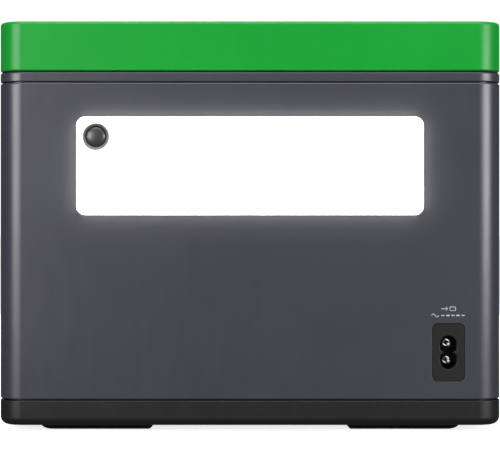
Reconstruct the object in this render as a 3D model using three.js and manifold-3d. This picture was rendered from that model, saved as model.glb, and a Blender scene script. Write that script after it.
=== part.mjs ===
// A portable battery power station: a rounded box on four feet with a green top cover that holds a
// folding handle, an area lamp and a two-pin charging inlet on the rear, and the outlets, ports and
// display on the front. Units are millimetres. +Z is up, X is the width and -Y is the rear face.
// The origin is on the floor, under the middle of the box.
import * as THREE from "three";
import { mergeVertices } from "three/addons/utils/BufferGeometryUtils.js";
import Module from "manifold-3d";

// ---------------------------------------------------------------- driving dimensions
const WIDTH = 250;
const DEPTH = 180;
const HEIGHT = 203.5;
const CORNER = 12; // plan radius of the four upright corners
const WALL = 2.5;
const GAP = 0.3; // between pieces that touch on the real object
const LIP = 1.5; // thickness of the tongues that close the seams from inside
const RIM = WALL + GAP + LIP; // depth of the base and collar rims, tongue included

// Heights of the horizontal seams.
const FOOT_HEIGHT = 3;
const BASE_TOP = 15.2;
const BODY_BOTTOM = 16;
const BODY_TOP = 173;
const COLLAR_BOTTOM = 173.7;
const COLLAR_TOP = 178.2;
const COVER_BOTTOM = 178.8;
const TONGUE = 5.3; // how far a tongue reaches past its seam

// Rear face.
const LAMP = { width: 173, height: 49.2, radius: 4.3, z: 131.5, proud: 2.2, flange: 3.5, back: 11.5 };
const LAMP_BUTTON = { x: -76.4, z: 146.1, radius: 4.8, crown: 1.8, proud: 3 };
const LAMP_RING = { bore: 5.3, radius: 6.4, proud: 2.7 };
const LAMP_LEDS = { columns: 9, rows: 2, pitchX: 18, pitchZ: 22, shiftX: 5, width: 3.5, height: 2.8 };
const INLET = { x: 98.6, z: 38.9, width: 16.5, height: 29, radius: 2.8, depth: 13.6, sunk: 0.4, floor: 3.4 };
const INLET_PIN = { radius: 1.18, spacing: 8.6, tip: 1.6, collar: 1.75, hole: 1.5, end: 20 };

// Front face. Positions are as the user sees them: +X to the user's right.
const FASCIA = { width: 212, height: 122, radius: 8, z: 97, sunk: 1 };
const DISPLAY = { x: 0, z: 130, width: 72, height: 42, radius: 2.7 };
const POWER_BUTTON = { x: 0, z: 88, radius: 7 };
const AC_BUTTON = { x: -74, z: 62, radius: 6 };
const DC_BUTTON = { x: 84, z: 118, radius: 6 };
const OUTLET = { x: -74, width: 34, height: 28, radius: 9, heights: { upper: 134, lower: 98 } };
const SLOT = { x: 6.35, z: 4, width: 2.2, talls: { left: 8.2, right: 6.6 }, depth: 16 };
const EARTH = { z: -7.9, radius: 2.5 };
const PORT = { low: 1, depth: 15, mouth: 13.5, tongueLow: 2.5 };
const USB_A = { x: 54, heights: { upper: 141, lower: 122 }, width: 14, height: 6.8, radius: 0.8 };
const USB_A_MOUTH = { width: 12.6, height: 5.2, radius: 0.4 };
const USB_C = { x: 84, z: 141, width: 9.6, height: 4, radius: 1.9 };
const USB_C_MOUTH = { width: 8.6, height: 2.9, radius: 1.4 };
const CAR_SOCKET = { x: 68, z: 78, bore: 10.6, body: 13.2, flange: 15.5, depth: 30 };
const LUG = { low: 6, high: 9, bottom: 11.5, step: 5, above: 2, proud: 1.4 };
const CAP = { radius: 15, proud: 3, back: 0.4, plug: 10, plugDepth: 4, hollow: 8.6 };
const STRAP = { halfWidth: 5.6, proud: 1.4 };
const CAP_HINGE = { y: -0.3, z: 20.6, knuckle: 1, trunnion: 0.6, hole: 0.95, reach: 8 };
const DC_INPUT = { x: 0, z: 58, bore: 4, body: 5.2, flange: 6.8, depth: 17, pin: 0.7 };
const BUTTON_STEM = 1.5;
const BUTTON_STEM_END = 9;
const BUTTON_TRAVEL = 1.2;
const BOARD = 1.6; // thickness of every circuit board

// Side faces.
const VENT = { width: 88, height: 68, radius: 6, z: 122, slots: 9, slotWidth: 3.4, pitch: 6.6 };
const VENT_BORDER = 7;
const FAN = { size: 60, depth: 15, bore: 28, hub: 12, behind: 6 };
const SPOKE = { count: 4, width: 2.4, thickness: 2 };
const BLADE = { count: 7, chord: 13, thickness: 1.4, pitch: 0.6 };

// Top cover and handle.
const POCKET = { width: 200, low: -12, high: 66, radius: 10, floor: 185.5 };
const PIVOT = { y: 0, z: 197.5, radius: 2, head: 3.5, headThickness: 2 };
const BAIL = { halfWidth: 97, arm: 8, thickness: 8, barLow: 48.5, barHigh: 59.5, boss: 5, outer: 16, inner: 8 };
const GRIP = { length: 120, width: 15.6, thickness: 11.6, radius: 5 };
const REST = { size: 8, inset: 18 };

// Battery of seven groups, each of five round cells.
const CELL = { radius: 13.1, height: 65, pitch: 27, perGroup: 5, groups: 7, bottom: 9 };
const PACK = { y: -8, clearance: 1.2, wall: 2, trayTop: 20, cover: 2 };

// Feet and the screws beside them.
const FOOT = { length: 56.4, depth: 22, x: 77, y: 69, sink: 1, radius: 5 };
const SCREW = { x: WIDTH / 2 - CORNER, y: DEPTH / 2 - CORNER, radius: 1.75, top: 33 };
const SCREW_HEAD = { radius: 3.6, height: 2.2 };
const SINK = { radius: 4.1, depth: 3.5 }; // the hole that takes a screw's head
const BOSS = { radius: 5.5, bore: 2.2, top: 37, boreTop: 35, rib: 3, ribReach: 10 };

// ---------------------------------------------------------------- solid helpers
const wasm = await Module();
wasm.setup();

function toSolid(geometry) {
  const bare = (geometry.index ? geometry.toNonIndexed() : geometry.clone());
  bare.deleteAttribute("normal");
  bare.deleteAttribute("uv");
  const merged = mergeVertices(bare, 1e-4);
  return new wasm.Manifold(new wasm.Mesh({
    numProp: 3,
    vertProperties: merged.attributes.position.array,
    triVerts: new Uint32Array(merged.index.array),
  }));
}

function toGeometry(solid) {
  const mesh = solid.getMesh();
  const geometry = new THREE.BufferGeometry();
  geometry.setAttribute("position", new THREE.BufferAttribute(mesh.vertProperties, 3));
  geometry.setIndex(new THREE.BufferAttribute(mesh.triVerts, 1));
  geometry.computeVertexNormals();
  return geometry;
}

function join(...geometries) {
  return toGeometry(geometries.map(toSolid).reduce((sum, next) => sum.add(next)));
}

function cut(geometry, ...tools) {
  return toGeometry(tools.map(toSolid).reduce((rest, tool) => rest.subtract(tool), toSolid(geometry)));
}

function common(first, second) {
  return toGeometry(toSolid(first).intersect(toSolid(second)));
}

// ---------------------------------------------------------------- outlines
function roundedRect(width, height, radius, x = 0, y = 0) {
  const [w, h] = [width / 2, height / 2];
  const shape = new THREE.Shape();
  shape.absarc(x + w - radius, y + h - radius, radius, 0, Math.PI / 2);
  shape.absarc(x - w + radius, y + h - radius, radius, Math.PI / 2, Math.PI);
  shape.absarc(x - w + radius, y - h + radius, radius, Math.PI, 1.5 * Math.PI);
  shape.absarc(x + w - radius, y - h + radius, radius, 1.5 * Math.PI, 2 * Math.PI);
  shape.closePath();
  return shape;
}

function rect(lowX, highX, lowY, highY) {
  return new THREE.Shape([
    new THREE.Vector2(lowX, lowY),
    new THREE.Vector2(highX, lowY),
    new THREE.Vector2(highX, highY),
    new THREE.Vector2(lowX, highY),
  ]);
}

function circle(radius, x = 0, y = 0) {
  return new THREE.Shape().absarc(x, y, radius, 0, 2 * Math.PI);
}

function withHoles(shape, ...holes) {
  shape.holes.push(...holes);
  return shape;
}

// The plan outline of the box, moved inwards by a distance.
function plan(inset = 0) {
  return roundedRect(WIDTH - 2 * inset, DEPTH - 2 * inset, CORNER - inset);
}

// ---------------------------------------------------------------- extrusions
// Arcs get twice as many steps as `steps`. A round is a bevel at both ends, inside the outline.
function extrude(shape, depth, { steps = 3, round = 0, roundSteps = 2 } = {}) {
  const geometry = new THREE.ExtrudeGeometry(shape, {
    depth: depth - 2 * round,
    curveSegments: steps,
    bevelEnabled: round > 0,
    bevelThickness: round,
    bevelSize: round,
    bevelOffset: -round,
    bevelSegments: roundSteps,
  });
  return geometry.translate(0, 0, round);
}

// Outline in X and Y.
function alongZ(shape, low, high, options) {
  return extrude(shape, high - low, options).translate(0, 0, low);
}

// Outline in X and Z.
function alongY(shape, low, high, options) {
  return extrude(shape, high - low, options).rotateX(Math.PI / 2).translate(0, high, 0);
}

// Outline in Y and Z.
function alongX(shape, low, high, options) {
  return extrude(shape, high - low, options).rotateX(Math.PI / 2).rotateZ(Math.PI / 2).translate(low, 0, 0);
}

// A turned piece about the Y axis. The [radius, y] pairs go up the outside.
function turned(profile, segments) {
  return new THREE.LatheGeometry(profile.map(([r, y]) => new THREE.Vector2(r, y)), segments);
}

function cable(points, radius) {
  const path = new THREE.CatmullRomCurve3(points.map((p) => new THREE.Vector3(...p)), false, "centripetal");
  return new THREE.ExtrudeGeometry(circle(radius), {
    steps: 16,
    curveSegments: 3,
    bevelEnabled: false,
    extrudePath: path,
  });
}

// ---------------------------------------------------------------- materials
function finish(color, roughness, metalness = 0) {
  return new THREE.MeshStandardMaterial({ color, roughness, metalness });
}

const GREEN = finish(0x25a83a, 0.42);
const GREY = finish(0x4b4c53, 0.45);
const BLACK = finish(0x2b2b2b, 0.5);
const RUBBER = finish(0x141414, 0.85);
const WHITE_LENS = finish(0xffffff, 0.35);
const WHITE = finish(0xf0f0ee, 0.5);
const BUTTON_GREY = finish(0x47474a, 0.25);
const BEZEL_GREY = finish(0x8c8c8f, 0.35, 0.6);
const GLOSS_BLACK = finish(0x0b0b0d, 0.12);
const STEEL = finish(0xc4c6c9, 0.28, 1);
const ALUMINIUM = finish(0xa9adb2, 0.4, 1);
const COPPER = finish(0xb5713c, 0.4, 1);
const CIRCUIT_GREEN = finish(0x1f5c3a, 0.55);
const CELL_BLUE = finish(0x2f6f9e, 0.4);
const RED = finish(0xb01c1c, 0.5);

// ---------------------------------------------------------------- the group and its faces
const powerStation = new THREE.Group();

function add(parent, name, geometry, material) {
  const mesh = new THREE.Mesh(geometry, material);
  mesh.name = name;
  parent.add(mesh);
  return mesh;
}

// A face's own frame has X to the right of someone looking at it, Z up and Y inwards from its surface.
function faceFrame(angle, distance) {
  const face = new THREE.Group();
  face.rotation.z = angle;
  face.position.set(Math.sin(angle) * distance, -Math.cos(angle) * distance, 0);
  face.updateMatrix();
  powerStation.add(face);
  return face;
}

const rear = faceFrame(0, DEPTH / 2);
const front = faceFrame(Math.PI, DEPTH / 2);
const right = faceFrame(Math.PI / 2, WIDTH / 2);
const left = faceFrame(-Math.PI / 2, WIDTH / 2);

// A cutter through the wall of a face, a gap wider all round than the piece that fills it.
function wallCutter(face, width, height, radius, x, z) {
  const shape = roundedRect(width + 2 * GAP, height + 2 * GAP, radius + GAP, x, z);
  return alongY(shape, -WALL, 3 * WALL, { steps: 2 }).applyMatrix4(face.matrix);
}

// ---------------------------------------------------------------- shells
function housing() {
  const sleeve = alongZ(withHoles(plan(), plan(WALL)), BODY_BOTTOM, BODY_TOP);
  const bossBottom = BASE_TOP + TONGUE + GAP;
  const bosses = [];
  for (const sx of [-1, 1]) {
    for (const sy of [-1, 1]) {
      const [x, y] = [sx * SCREW.x, sy * SCREW.y];
      const [endX, endY] = [x + sx * BOSS.ribReach, y + sy * BOSS.ribReach];
      const half = BOSS.rib / 2;
      const post = join(
        alongZ(circle(BOSS.radius, x, y), bossBottom, BOSS.top, { steps: 5 }),
        alongZ(rect(Math.min(x, endX), Math.max(x, endX), y - half, y + half), bossBottom, BOSS.top),
        alongZ(rect(x - half, x + half, Math.min(y, endY), Math.max(y, endY)), bossBottom, BOSS.top),
      );
      bosses.push(cut(post, alongZ(circle(BOSS.bore, x, y), bossBottom - 1, BOSS.boreTop, { steps: 4 })));
    }
  }
  return cut(
    join(sleeve, ...bosses),
    wallCutter(rear, LAMP.width, LAMP.height, LAMP.radius, 0, LAMP.z),
    wallCutter(rear, INLET.width, INLET.height, INLET.radius, INLET.x, INLET.z),
    wallCutter(front, FASCIA.width, FASCIA.height, FASCIA.radius, 0, FASCIA.z),
    wallCutter(right, VENT.width, VENT.height, VENT.radius, 0, VENT.z),
    wallCutter(left, VENT.width, VENT.height, VENT.radius, 0, VENT.z),
  );
}

function collarBand() {
  return join(
    alongZ(withHoles(plan(), plan(RIM)), COLLAR_BOTTOM, COLLAR_TOP),
    alongZ(withHoles(plan(RIM - LIP), plan(RIM)), BODY_TOP - TONGUE, COVER_BOTTOM + TONGUE),
  );
}

function footRecess(sx, sy) {
  return alongZ(
    roundedRect(FOOT.length + 2 * GAP, FOOT.depth + 2 * GAP, FOOT.radius, sx * FOOT.x, sy * FOOT.y),
    FOOT_HEIGHT - 1,
    FOOT_HEIGHT + FOOT.sink,
    { steps: 2 },
  );
}

function baseTray() {
  const fillet = 3.5;
  const floor = FOOT_HEIGHT + WALL;
  const block = alongZ(plan(), FOOT_HEIGHT, BASE_TOP + fillet, { round: fillet });
  const above = alongZ(rect(-WIDTH, WIDTH, -DEPTH, DEPTH), BASE_TOP, BASE_TOP + 2 * fillet);
  const hollow = alongZ(plan(RIM), floor, BASE_TOP + 1);
  const tongue = alongZ(withHoles(plan(RIM - LIP), plan(RIM)), BASE_TOP - 1, BASE_TOP + TONGUE);
  const parts = [cut(block, above, hollow), tongue];
  const cutters = [];
  for (const sx of [-1, 1]) {
    for (const sy of [-1, 1]) {
      const [x, y] = [sx * SCREW.x, sy * SCREW.y];
      const sinkTop = FOOT_HEIGHT + SINK.depth;
      parts.push(alongZ(circle(BOSS.radius, x, y), floor - 1, BASE_TOP + TONGUE, { steps: 5 }));
      cutters.push(alongZ(circle(BOSS.bore, x, y), FOOT_HEIGHT - 1, BASE_TOP + 2 * TONGUE, { steps: 4 }));
      cutters.push(alongZ(circle(SINK.radius, x, y), FOOT_HEIGHT - 1, sinkTop, { steps: 6 }));
      cutters.push(footRecess(sx, sy));
    }
  }
  return cut(join(...parts), ...cutters);
}

function topCover() {
  const fillet = 1.8;
  const middle = (POCKET.low + POCKET.high) / 2;
  const length = POCKET.high - POCKET.low;
  const block = alongZ(plan(), COVER_BOTTOM - fillet, HEIGHT, { round: fillet });
  const below = alongZ(rect(-WIDTH, WIDTH, -DEPTH, DEPTH), COVER_BOTTOM - 2 * fillet, COVER_BOTTOM);
  const hollow = alongZ(plan(WALL), COVER_BOTTOM - 1, HEIGHT - WALL);
  const pocketWalls = alongZ(
    roundedRect(POCKET.width + 2 * WALL, length + 2 * WALL, POCKET.radius + WALL, 0, middle),
    POCKET.floor - WALL,
    HEIGHT - 1,
  );
  const mouth = roundedRect(POCKET.width, length, POCKET.radius, 0, middle);
  const pocket = alongZ(mouth, POCKET.floor, HEIGHT + 1);
  const reach = POCKET.width / 2 + WALL + 1;
  const pinHoles = alongX(circle(PIVOT.radius + GAP, PIVOT.y, PIVOT.z), -reach, reach, { steps: 6 });
  const restX = BAIL.halfWidth - REST.inset;
  const restY = (BAIL.barLow + BAIL.barHigh) / 2;
  const rests = [-restX, restX].map((x) => alongZ(
    roundedRect(REST.size, REST.size, 1, x, restY),
    POCKET.floor - 1,
    PIVOT.z - BAIL.thickness / 2 - GAP,
    { steps: 1 },
  ));
  return join(cut(join(cut(block, below, hollow), pocketWalls), pocket, pinHoles), ...rests);
}

add(powerStation, "housing", housing(), GREY);
add(powerStation, "collar_band", collarBand(), GREY);
add(powerStation, "base_tray", baseTray(), BLACK);
add(powerStation, "top_cover", topCover(), GREEN);

// ---------------------------------------------------------------- feet and base screws
// The foot's own +X points away from the middle of the box; that end is rounded more than the other.
function foot() {
  const half = FOOT.length / 2;
  const top = FOOT_HEIGHT + FOOT.sink - GAP;
  const profile = new THREE.Shape();
  profile.moveTo(-half, top);
  profile.lineTo(-half, 1.6);
  profile.lineTo(-half + 1.6, 0);
  profile.lineTo(half - 6, 0);
  profile.quadraticCurveTo(half, 0, half, FOOT_HEIGHT);
  profile.lineTo(half, top);
  profile.closePath();
  const solid = alongY(profile, -FOOT.depth / 2, FOOT.depth / 2, { steps: 6 });
  return common(solid, alongZ(roundedRect(FOOT.length, FOOT.depth, FOOT.radius), -1, top + 1));
}

function baseScrew() {
  const headTop = FOOT_HEIGHT + SINK.depth - GAP;
  const shank = alongZ(circle(SCREW.radius), headTop - 1, SCREW.top, { steps: 4 });
  return join(alongZ(circle(SCREW_HEAD.radius), headTop - SCREW_HEAD.height, headTop, { steps: 8 }), shank);
}

const footGeometry = foot();
const screwGeometry = baseScrew();
for (const [sideName, sx] of [["left", -1], ["right", 1]]) {
  for (const [endName, sy] of [["rear", -1], ["front", 1]]) {
    const pad = add(powerStation, `foot_${endName}_${sideName}`, footGeometry, RUBBER);
    pad.position.set(sx * FOOT.x, sy * FOOT.y, 0);
    pad.rotation.z = sx > 0 ? 0 : Math.PI;
    const screw = add(powerStation, `base_screw_${endName}_${sideName}`, screwGeometry, STEEL);
    screw.position.set(sx * SCREW.x, sy * SCREW.y, 0);
  }
}

// ---------------------------------------------------------------- rear lamp and its button
const FLANGE_LOW = WALL + GAP; // where a flange starts behind the housing's wall
const FLANGE_BACK = FLANGE_LOW + 1.6;

function lampDiffuser() {
  const face = roundedRect(LAMP.width, LAMP.height, LAMP.radius, 0, LAMP.z);
  const flange = roundedRect(
    LAMP.width + 2 * LAMP.flange,
    LAMP.height + 2 * LAMP.flange,
    LAMP.radius + LAMP.flange,
    0,
    LAMP.z,
  );
  const lens = join(
    alongY(face, -LAMP.proud, FLANGE_BACK, { steps: 2 }),
    alongY(flange, FLANGE_LOW, FLANGE_BACK, { steps: 1 }),
  );
  const hole = circle(LAMP_RING.radius + GAP, LAMP_BUTTON.x, LAMP_BUTTON.z);
  return cut(lens, alongY(hole, -LAMP.proud - 1, FLANGE_BACK + 1, { steps: 10 }));
}

function lampReflector() {
  const [wall, radius] = [2, 6];
  const [width, height] = [LAMP.width + 2 * LAMP.flange, LAMP.height + 2 * LAMP.flange];
  const outer = roundedRect(width, height, radius, 0, LAMP.z);
  const inner = roundedRect(width - 2 * wall, height - 2 * wall, radius - wall, 0, LAMP.z);
  const low = FLANGE_BACK + GAP;
  const coarse = { steps: 2 };
  return cut(alongY(outer, low, LAMP.back + wall, coarse), alongY(inner, low - 1, LAMP.back, coarse));
}

function lampBoard() {
  const { columns, rows, pitchX, pitchZ, shiftX, width, height } = LAMP_LEDS;
  const top = LAMP.back - GAP - BOARD;
  const pieces = [alongY(roundedRect(LAMP.width, LAMP.height, 3, 0, LAMP.z), top, top + BOARD, { steps: 1 })];
  for (let i = 0; i < columns; i++) {
    for (let j = 0; j < rows; j++) {
      const x = (i - (columns - 1) / 2) * pitchX + shiftX;
      const z = LAMP.z + (j - (rows - 1) / 2) * pitchZ;
      const led = rect(x - width / 2, x + width / 2, z - height / 2, z + height / 2);
      pieces.push(alongY(led, top - 0.8, top + 0.5));
    }
  }
  return join(...pieces);
}

function lampButtonBezel() {
  const { bore, radius } = LAMP_RING;
  const chamfer = 0.3;
  const top = -LAMP_RING.proud;
  return turned([
    [bore, top + chamfer],
    [bore + chamfer, top],
    [radius - chamfer, top],
    [radius, top + chamfer],
    [radius, FLANGE_BACK],
    [bore, FLANGE_BACK],
    [bore, top + chamfer],
  ], 20);
}

// A domed cap whose crown stands proud by `proud`, on a stem that ends at `stemEnd`.
function buttonCap(radius, proud, bodyEnd, stemEnd, crown) {
  const dome = [];
  const steps = 3;
  for (let i = 0; i <= steps; i++) {
    const angle = ((i / steps) * Math.PI) / 2;
    dome.push([radius * Math.sin(angle), -proud + crown * (1 - Math.cos(angle))]);
  }
  const stem = [[BUTTON_STEM, bodyEnd], [BUTTON_STEM, stemEnd], [0, stemEnd]];
  return turned([...dome, [radius, bodyEnd], ...stem], 20);
}

function place(mesh, x, z) {
  mesh.position.set(x, 0, z);
  return mesh;
}

add(rear, "lamp_diffuser", lampDiffuser(), WHITE_LENS);
add(rear, "lamp_reflector", lampReflector(), WHITE);
add(rear, "lamp_board", lampBoard(), WHITE);
const bezel = add(rear, "lamp_button_bezel", lampButtonBezel(), BEZEL_GREY);
place(bezel, LAMP_BUTTON.x, LAMP_BUTTON.z);
const lampStemEnd = 4.2;
const lampCap = buttonCap(LAMP_BUTTON.radius, LAMP_BUTTON.proud, 2.2, lampStemEnd, LAMP_BUTTON.crown);
place(add(rear, "lamp_button", lampCap, BUTTON_GREY), LAMP_BUTTON.x, LAMP_BUTTON.z);
const switchTop = lampStemEnd + BUTTON_TRAVEL + GAP;
const switchBack = LAMP.back - BOARD - 2 * GAP;
const switchBody = alongY(roundedRect(6.2, 6.2, 0.8), switchTop, switchBack, { steps: 1 });
place(add(rear, "lamp_switch", switchBody, BLACK), LAMP_BUTTON.x, LAMP_BUTTON.z);

// ---------------------------------------------------------------- rear charging inlet
// The outline of the inlet's recess: two round lobes with a notch on each side between them.
function figureEight() {
  const [half, lobe, notch, waist] = [4, 4.25, 1.3, 2.2];
  const shape = new THREE.Shape();
  shape.absarc(0, lobe, half, 0, Math.PI);
  shape.lineTo(-half, notch);
  shape.lineTo(-waist, 0);
  shape.lineTo(-half, -notch);
  shape.absarc(0, -lobe, half, Math.PI, 2 * Math.PI);
  shape.lineTo(half, -notch);
  shape.lineTo(waist, 0);
  shape.lineTo(half, notch);
  shape.closePath();
  return shape;
}

function inletBody() {
  const end = INLET.depth + INLET.floor;
  const flange = roundedRect(INLET.width + 5, INLET.height + 5, INLET.radius);
  const pinHole = (side) => {
    const hole = circle(INLET_PIN.hole, 0, (side * INLET_PIN.spacing) / 2);
    return alongY(hole, 1, end + 1, { steps: 5 });
  };
  return cut(
    join(
      alongY(roundedRect(INLET.width, INLET.height, INLET.radius), INLET.sunk, end, { steps: 2 }),
      alongY(flange, FLANGE_LOW, FLANGE_LOW + 2, { steps: 1 }),
    ),
    alongY(figureEight(), INLET.sunk - 1, INLET.depth, { steps: 5 }),
    pinHole(1),
    pinHole(-1),
  );
}

function inletPin() {
  const { radius, tip, collar, end } = INLET_PIN;
  const foot = INLET.depth - GAP;
  return turned([
    [0, tip],
    [radius * 0.6, tip + 0.1],
    [radius, tip + 0.7],
    [radius, foot - 0.6],
    [collar, foot - 0.6],
    [collar, foot],
    [radius, foot],
    [radius, end],
    [0, end],
  ], 12);
}

place(add(rear, "inlet_body", inletBody(), BLACK), INLET.x, INLET.z);
const pinGeometry = inletPin();
for (const [pinName, side] of [["upper", 1], ["lower", -1]]) {
  const pin = add(rear, `inlet_pin_${pinName}`, pinGeometry, STEEL);
  place(pin, INLET.x, INLET.z + (side * INLET_PIN.spacing) / 2);
}

// ---------------------------------------------------------------- front fascia
const FASCIA_BACK = FLANGE_LOW + 1.8;

function frontFascia() {
  const { width, height, radius, z, sunk } = FASCIA;
  const opening = (shape, steps) => alongY(shape, -1, FASCIA_BACK + 1, { steps });
  const roundOpening = (at, size, gap = GAP) => opening(circle(size + gap, at.x, at.z), 8);
  const framed = (size, x, h, steps) =>
    opening(roundedRect(size.width + 2 * GAP, size.height + 2 * GAP, size.radius + GAP, x, h), steps);
  return cut(
    join(
      alongY(roundedRect(width, height, radius, 0, z), sunk, FASCIA_BACK, { steps: 2 }),
      alongY(roundedRect(width + 6, height + 6, radius, 0, z), FLANGE_LOW, FASCIA_BACK, { steps: 1 }),
    ),
    framed(DISPLAY, DISPLAY.x, DISPLAY.z, 2),
    framed(USB_C, USB_C.x, USB_C.z, 2),
    ...Object.values(USB_A.heights).map((h) => framed(USB_A, USB_A.x, h, 1)),
    ...Object.values(OUTLET.heights).map((h) => framed(OUTLET, OUTLET.x, h, 3)),
    ...[POWER_BUTTON, AC_BUTTON, DC_BUTTON].map((button) => roundOpening(button, button.radius, 0.4)),
    roundOpening(CAR_SOCKET, CAR_SOCKET.body),
    roundOpening(DC_INPUT, DC_INPUT.body),
  );
}

function displayWindow() {
  const outline = roundedRect(DISPLAY.width, DISPLAY.height, DISPLAY.radius, DISPLAY.x, DISPLAY.z);
  return alongY(outline, FASCIA.sunk, FASCIA_BACK, { steps: 2 });
}

function displayModule() {
  const low = FASCIA_BACK + GAP;
  const outline = roundedRect(DISPLAY.width + 4, DISPLAY.height + 4, 2, DISPLAY.x, DISPLAY.z);
  return alongY(outline, low, low + 6, { steps: 1 });
}

add(front, "front_fascia", frontFascia(), BLACK);
add(front, "display_window", displayWindow(), GLOSS_BLACK);
add(front, "display_module", displayModule(), WHITE);

for (const [buttonName, at] of [["power", POWER_BUTTON], ["ac", AC_BUTTON], ["dc", DC_BUTTON]]) {
  const cap = buttonCap(at.radius, 0.2, 3.4, BUTTON_STEM_END, 0.9);
  place(add(front, `${buttonName}_button`, cap, BUTTON_GREY), at.x, at.z);
}

// ---------------------------------------------------------------- outlets and ports
// A three-hole mains outlet with its two upright slots over the round earth hole.
function mainsOutlet() {
  const slot = (x, tall) => {
    const outline = rect(x - SLOT.width / 2, x + SLOT.width / 2, SLOT.z - tall / 2, SLOT.z + tall / 2);
    return alongY(outline, -1, SLOT.depth);
  };
  return cut(
    join(
      alongY(roundedRect(OUTLET.width, OUTLET.height, OUTLET.radius), 0.6, 8),
      alongY(roundedRect(OUTLET.width - 4, OUTLET.height - 4, 6), 7, 24),
    ),
    slot(-SLOT.x, SLOT.talls.left),
    slot(SLOT.x, SLOT.talls.right),
    alongY(circle(EARTH.radius, 0, EARTH.z), -1, SLOT.depth, { steps: 6 }),
  );
}

// A port's shell with the tongue that its plug slides over.
function usbPort(port, mouth, tongue, steps) {
  const shell = cut(
    alongY(roundedRect(port.width, port.height, port.radius), PORT.low, PORT.depth, { steps }),
    alongY(roundedRect(mouth.width, mouth.height, mouth.radius), 0, PORT.mouth, { steps }),
  );
  return join(shell, alongY(tongue, PORT.tongueLow, PORT.mouth + 0.5));
}

function carSocket() {
  const { bore, body, flange, depth } = CAR_SOCKET;
  const round = { steps: 10 };
  const back = FASCIA.sunk - GAP;
  const top = CAP_HINGE.z + LUG.above;
  const lugs = [[-LUG.high, -LUG.low], [LUG.low, LUG.high]].map(([low, high]) => join(
    alongY(rect(low, high, LUG.bottom, top), 0, back),
    alongY(rect(low, high, CAP_HINGE.z - LUG.step, top), -LUG.proud, back),
  ));
  const reach = LUG.high + 1;
  const trunnionHole = alongX(circle(CAP_HINGE.hole, CAP_HINGE.y, CAP_HINGE.z), -reach, reach, { steps: 4 });
  const tube = join(
    alongY(circle(flange), 0, back, round),
    alongY(circle(body), 0.3, depth, round),
    ...lugs,
  );
  return cut(tube, alongY(circle(bore), -3, depth - 3, round), trunnionHole);
}

// The cap hangs from trunnions in the socket's two lugs, and its hollow plug fills the mouth of the bore.
function carSocketCap() {
  const { radius, proud, back, plug, plugDepth, hollow } = CAP;
  const { y, z, knuckle, trunnion, reach } = CAP_HINGE;
  const round = { steps: 10 };
  return join(
    alongY(circle(radius), -proud, -back, round),
    alongY(withHoles(circle(plug), circle(hollow)), -back - 0.5, plugDepth, round),
    alongY(rect(-STRAP.halfWidth, STRAP.halfWidth, radius - 3, z), -STRAP.proud, -back),
    alongX(circle(knuckle, y, z), -STRAP.halfWidth, STRAP.halfWidth, { steps: 5 }),
    alongX(circle(trunnion, y, z), -reach, reach, { steps: 4 }),
  );
}

function dcInputJack() {
  const { bore, body, flange, depth } = DC_INPUT;
  const round = { steps: 8 };
  const shell = join(
    alongY(circle(flange), 0.2, FASCIA.sunk - GAP, round),
    alongY(circle(body), 0.5, depth, round),
  );
  const pin = alongY(circle(DC_INPUT.pin), 3, depth - 2, { steps: 4 });
  return join(cut(shell, alongY(circle(bore), -1, depth - 3, round)), pin);
}

const outletGeometry = mainsOutlet();
for (const [outletName, z] of Object.entries(OUTLET.heights)) {
  place(add(front, `ac_outlet_${outletName}`, outletGeometry, BLACK), OUTLET.x, z);
}
const usbAGeometry = usbPort(USB_A, USB_A_MOUTH, rect(-5.5, 5.5, 0.3, 2), 1);
for (const [portName, z] of Object.entries(USB_A.heights)) {
  place(add(front, `usb_a_port_${portName}`, usbAGeometry, STEEL), USB_A.x, z);
}
const usbCGeometry = usbPort(USB_C, USB_C_MOUTH, rect(-3.3, 3.3, -0.35, 0.35), 2);
place(add(front, "usb_c_port", usbCGeometry, STEEL), USB_C.x, USB_C.z);
place(add(front, "car_socket", carSocket(), BLACK), CAR_SOCKET.x, CAR_SOCKET.z);
place(add(front, "car_socket_cap", carSocketCap(), RUBBER), CAR_SOCKET.x, CAR_SOCKET.z);
place(add(front, "dc_input_jack", dcInputJack(), BLACK), DC_INPUT.x, DC_INPUT.z);

// ---------------------------------------------------------------- boards behind the fascia
function tactSwitch(at, board) {
  const low = BUTTON_STEM_END + BUTTON_TRAVEL + 0.2;
  return alongY(roundedRect(6, 6, 0.8, at.x, at.z), low, board + 0.5, { steps: 1 });
}

function controlBoard() {
  const low = 13;
  const main = alongY(rect(-42, 42, 70, 154), low, low + BOARD);
  const arm = alongY(rect(-84, -40, 52, 80), low, low + BOARD);
  const chip = alongY(rect(-12, 12, 104, 128), low + 1, low + 4);
  return join(main, arm, chip, tactSwitch(POWER_BUTTON, low), tactSwitch(AC_BUTTON, low));
}

function portBoard() {
  const low = PORT.depth + GAP;
  return join(alongY(rect(44, 98, 108, 152), low, low + BOARD), tactSwitch(DC_BUTTON, low));
}

add(front, "control_board", controlBoard(), CIRCUIT_GREEN);
add(front, "port_board", portBoard(), CIRCUIT_GREEN);

// ---------------------------------------------------------------- side vents and the fan
function ventGrille() {
  const { width, height, radius, z, slots, slotWidth, pitch } = VENT;
  const panel = join(
    alongY(roundedRect(width, height, radius, 0, z), 0.3, FLANGE_BACK, { steps: 2 }),
    alongY(roundedRect(width + 6, height + 6, radius, 0, z), FLANGE_LOW, FLANGE_BACK, { steps: 1 }),
  );
  const cutters = [];
  const end = width / 2 - VENT_BORDER;
  for (let i = 0; i < slots; i++) {
    const at = z + (i - (slots - 1) / 2) * pitch;
    cutters.push(alongY(rect(-end, end, at - slotWidth / 2, at + slotWidth / 2), -1, FLANGE_BACK + 1));
  }
  return cut(panel, ...cutters);
}

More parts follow.
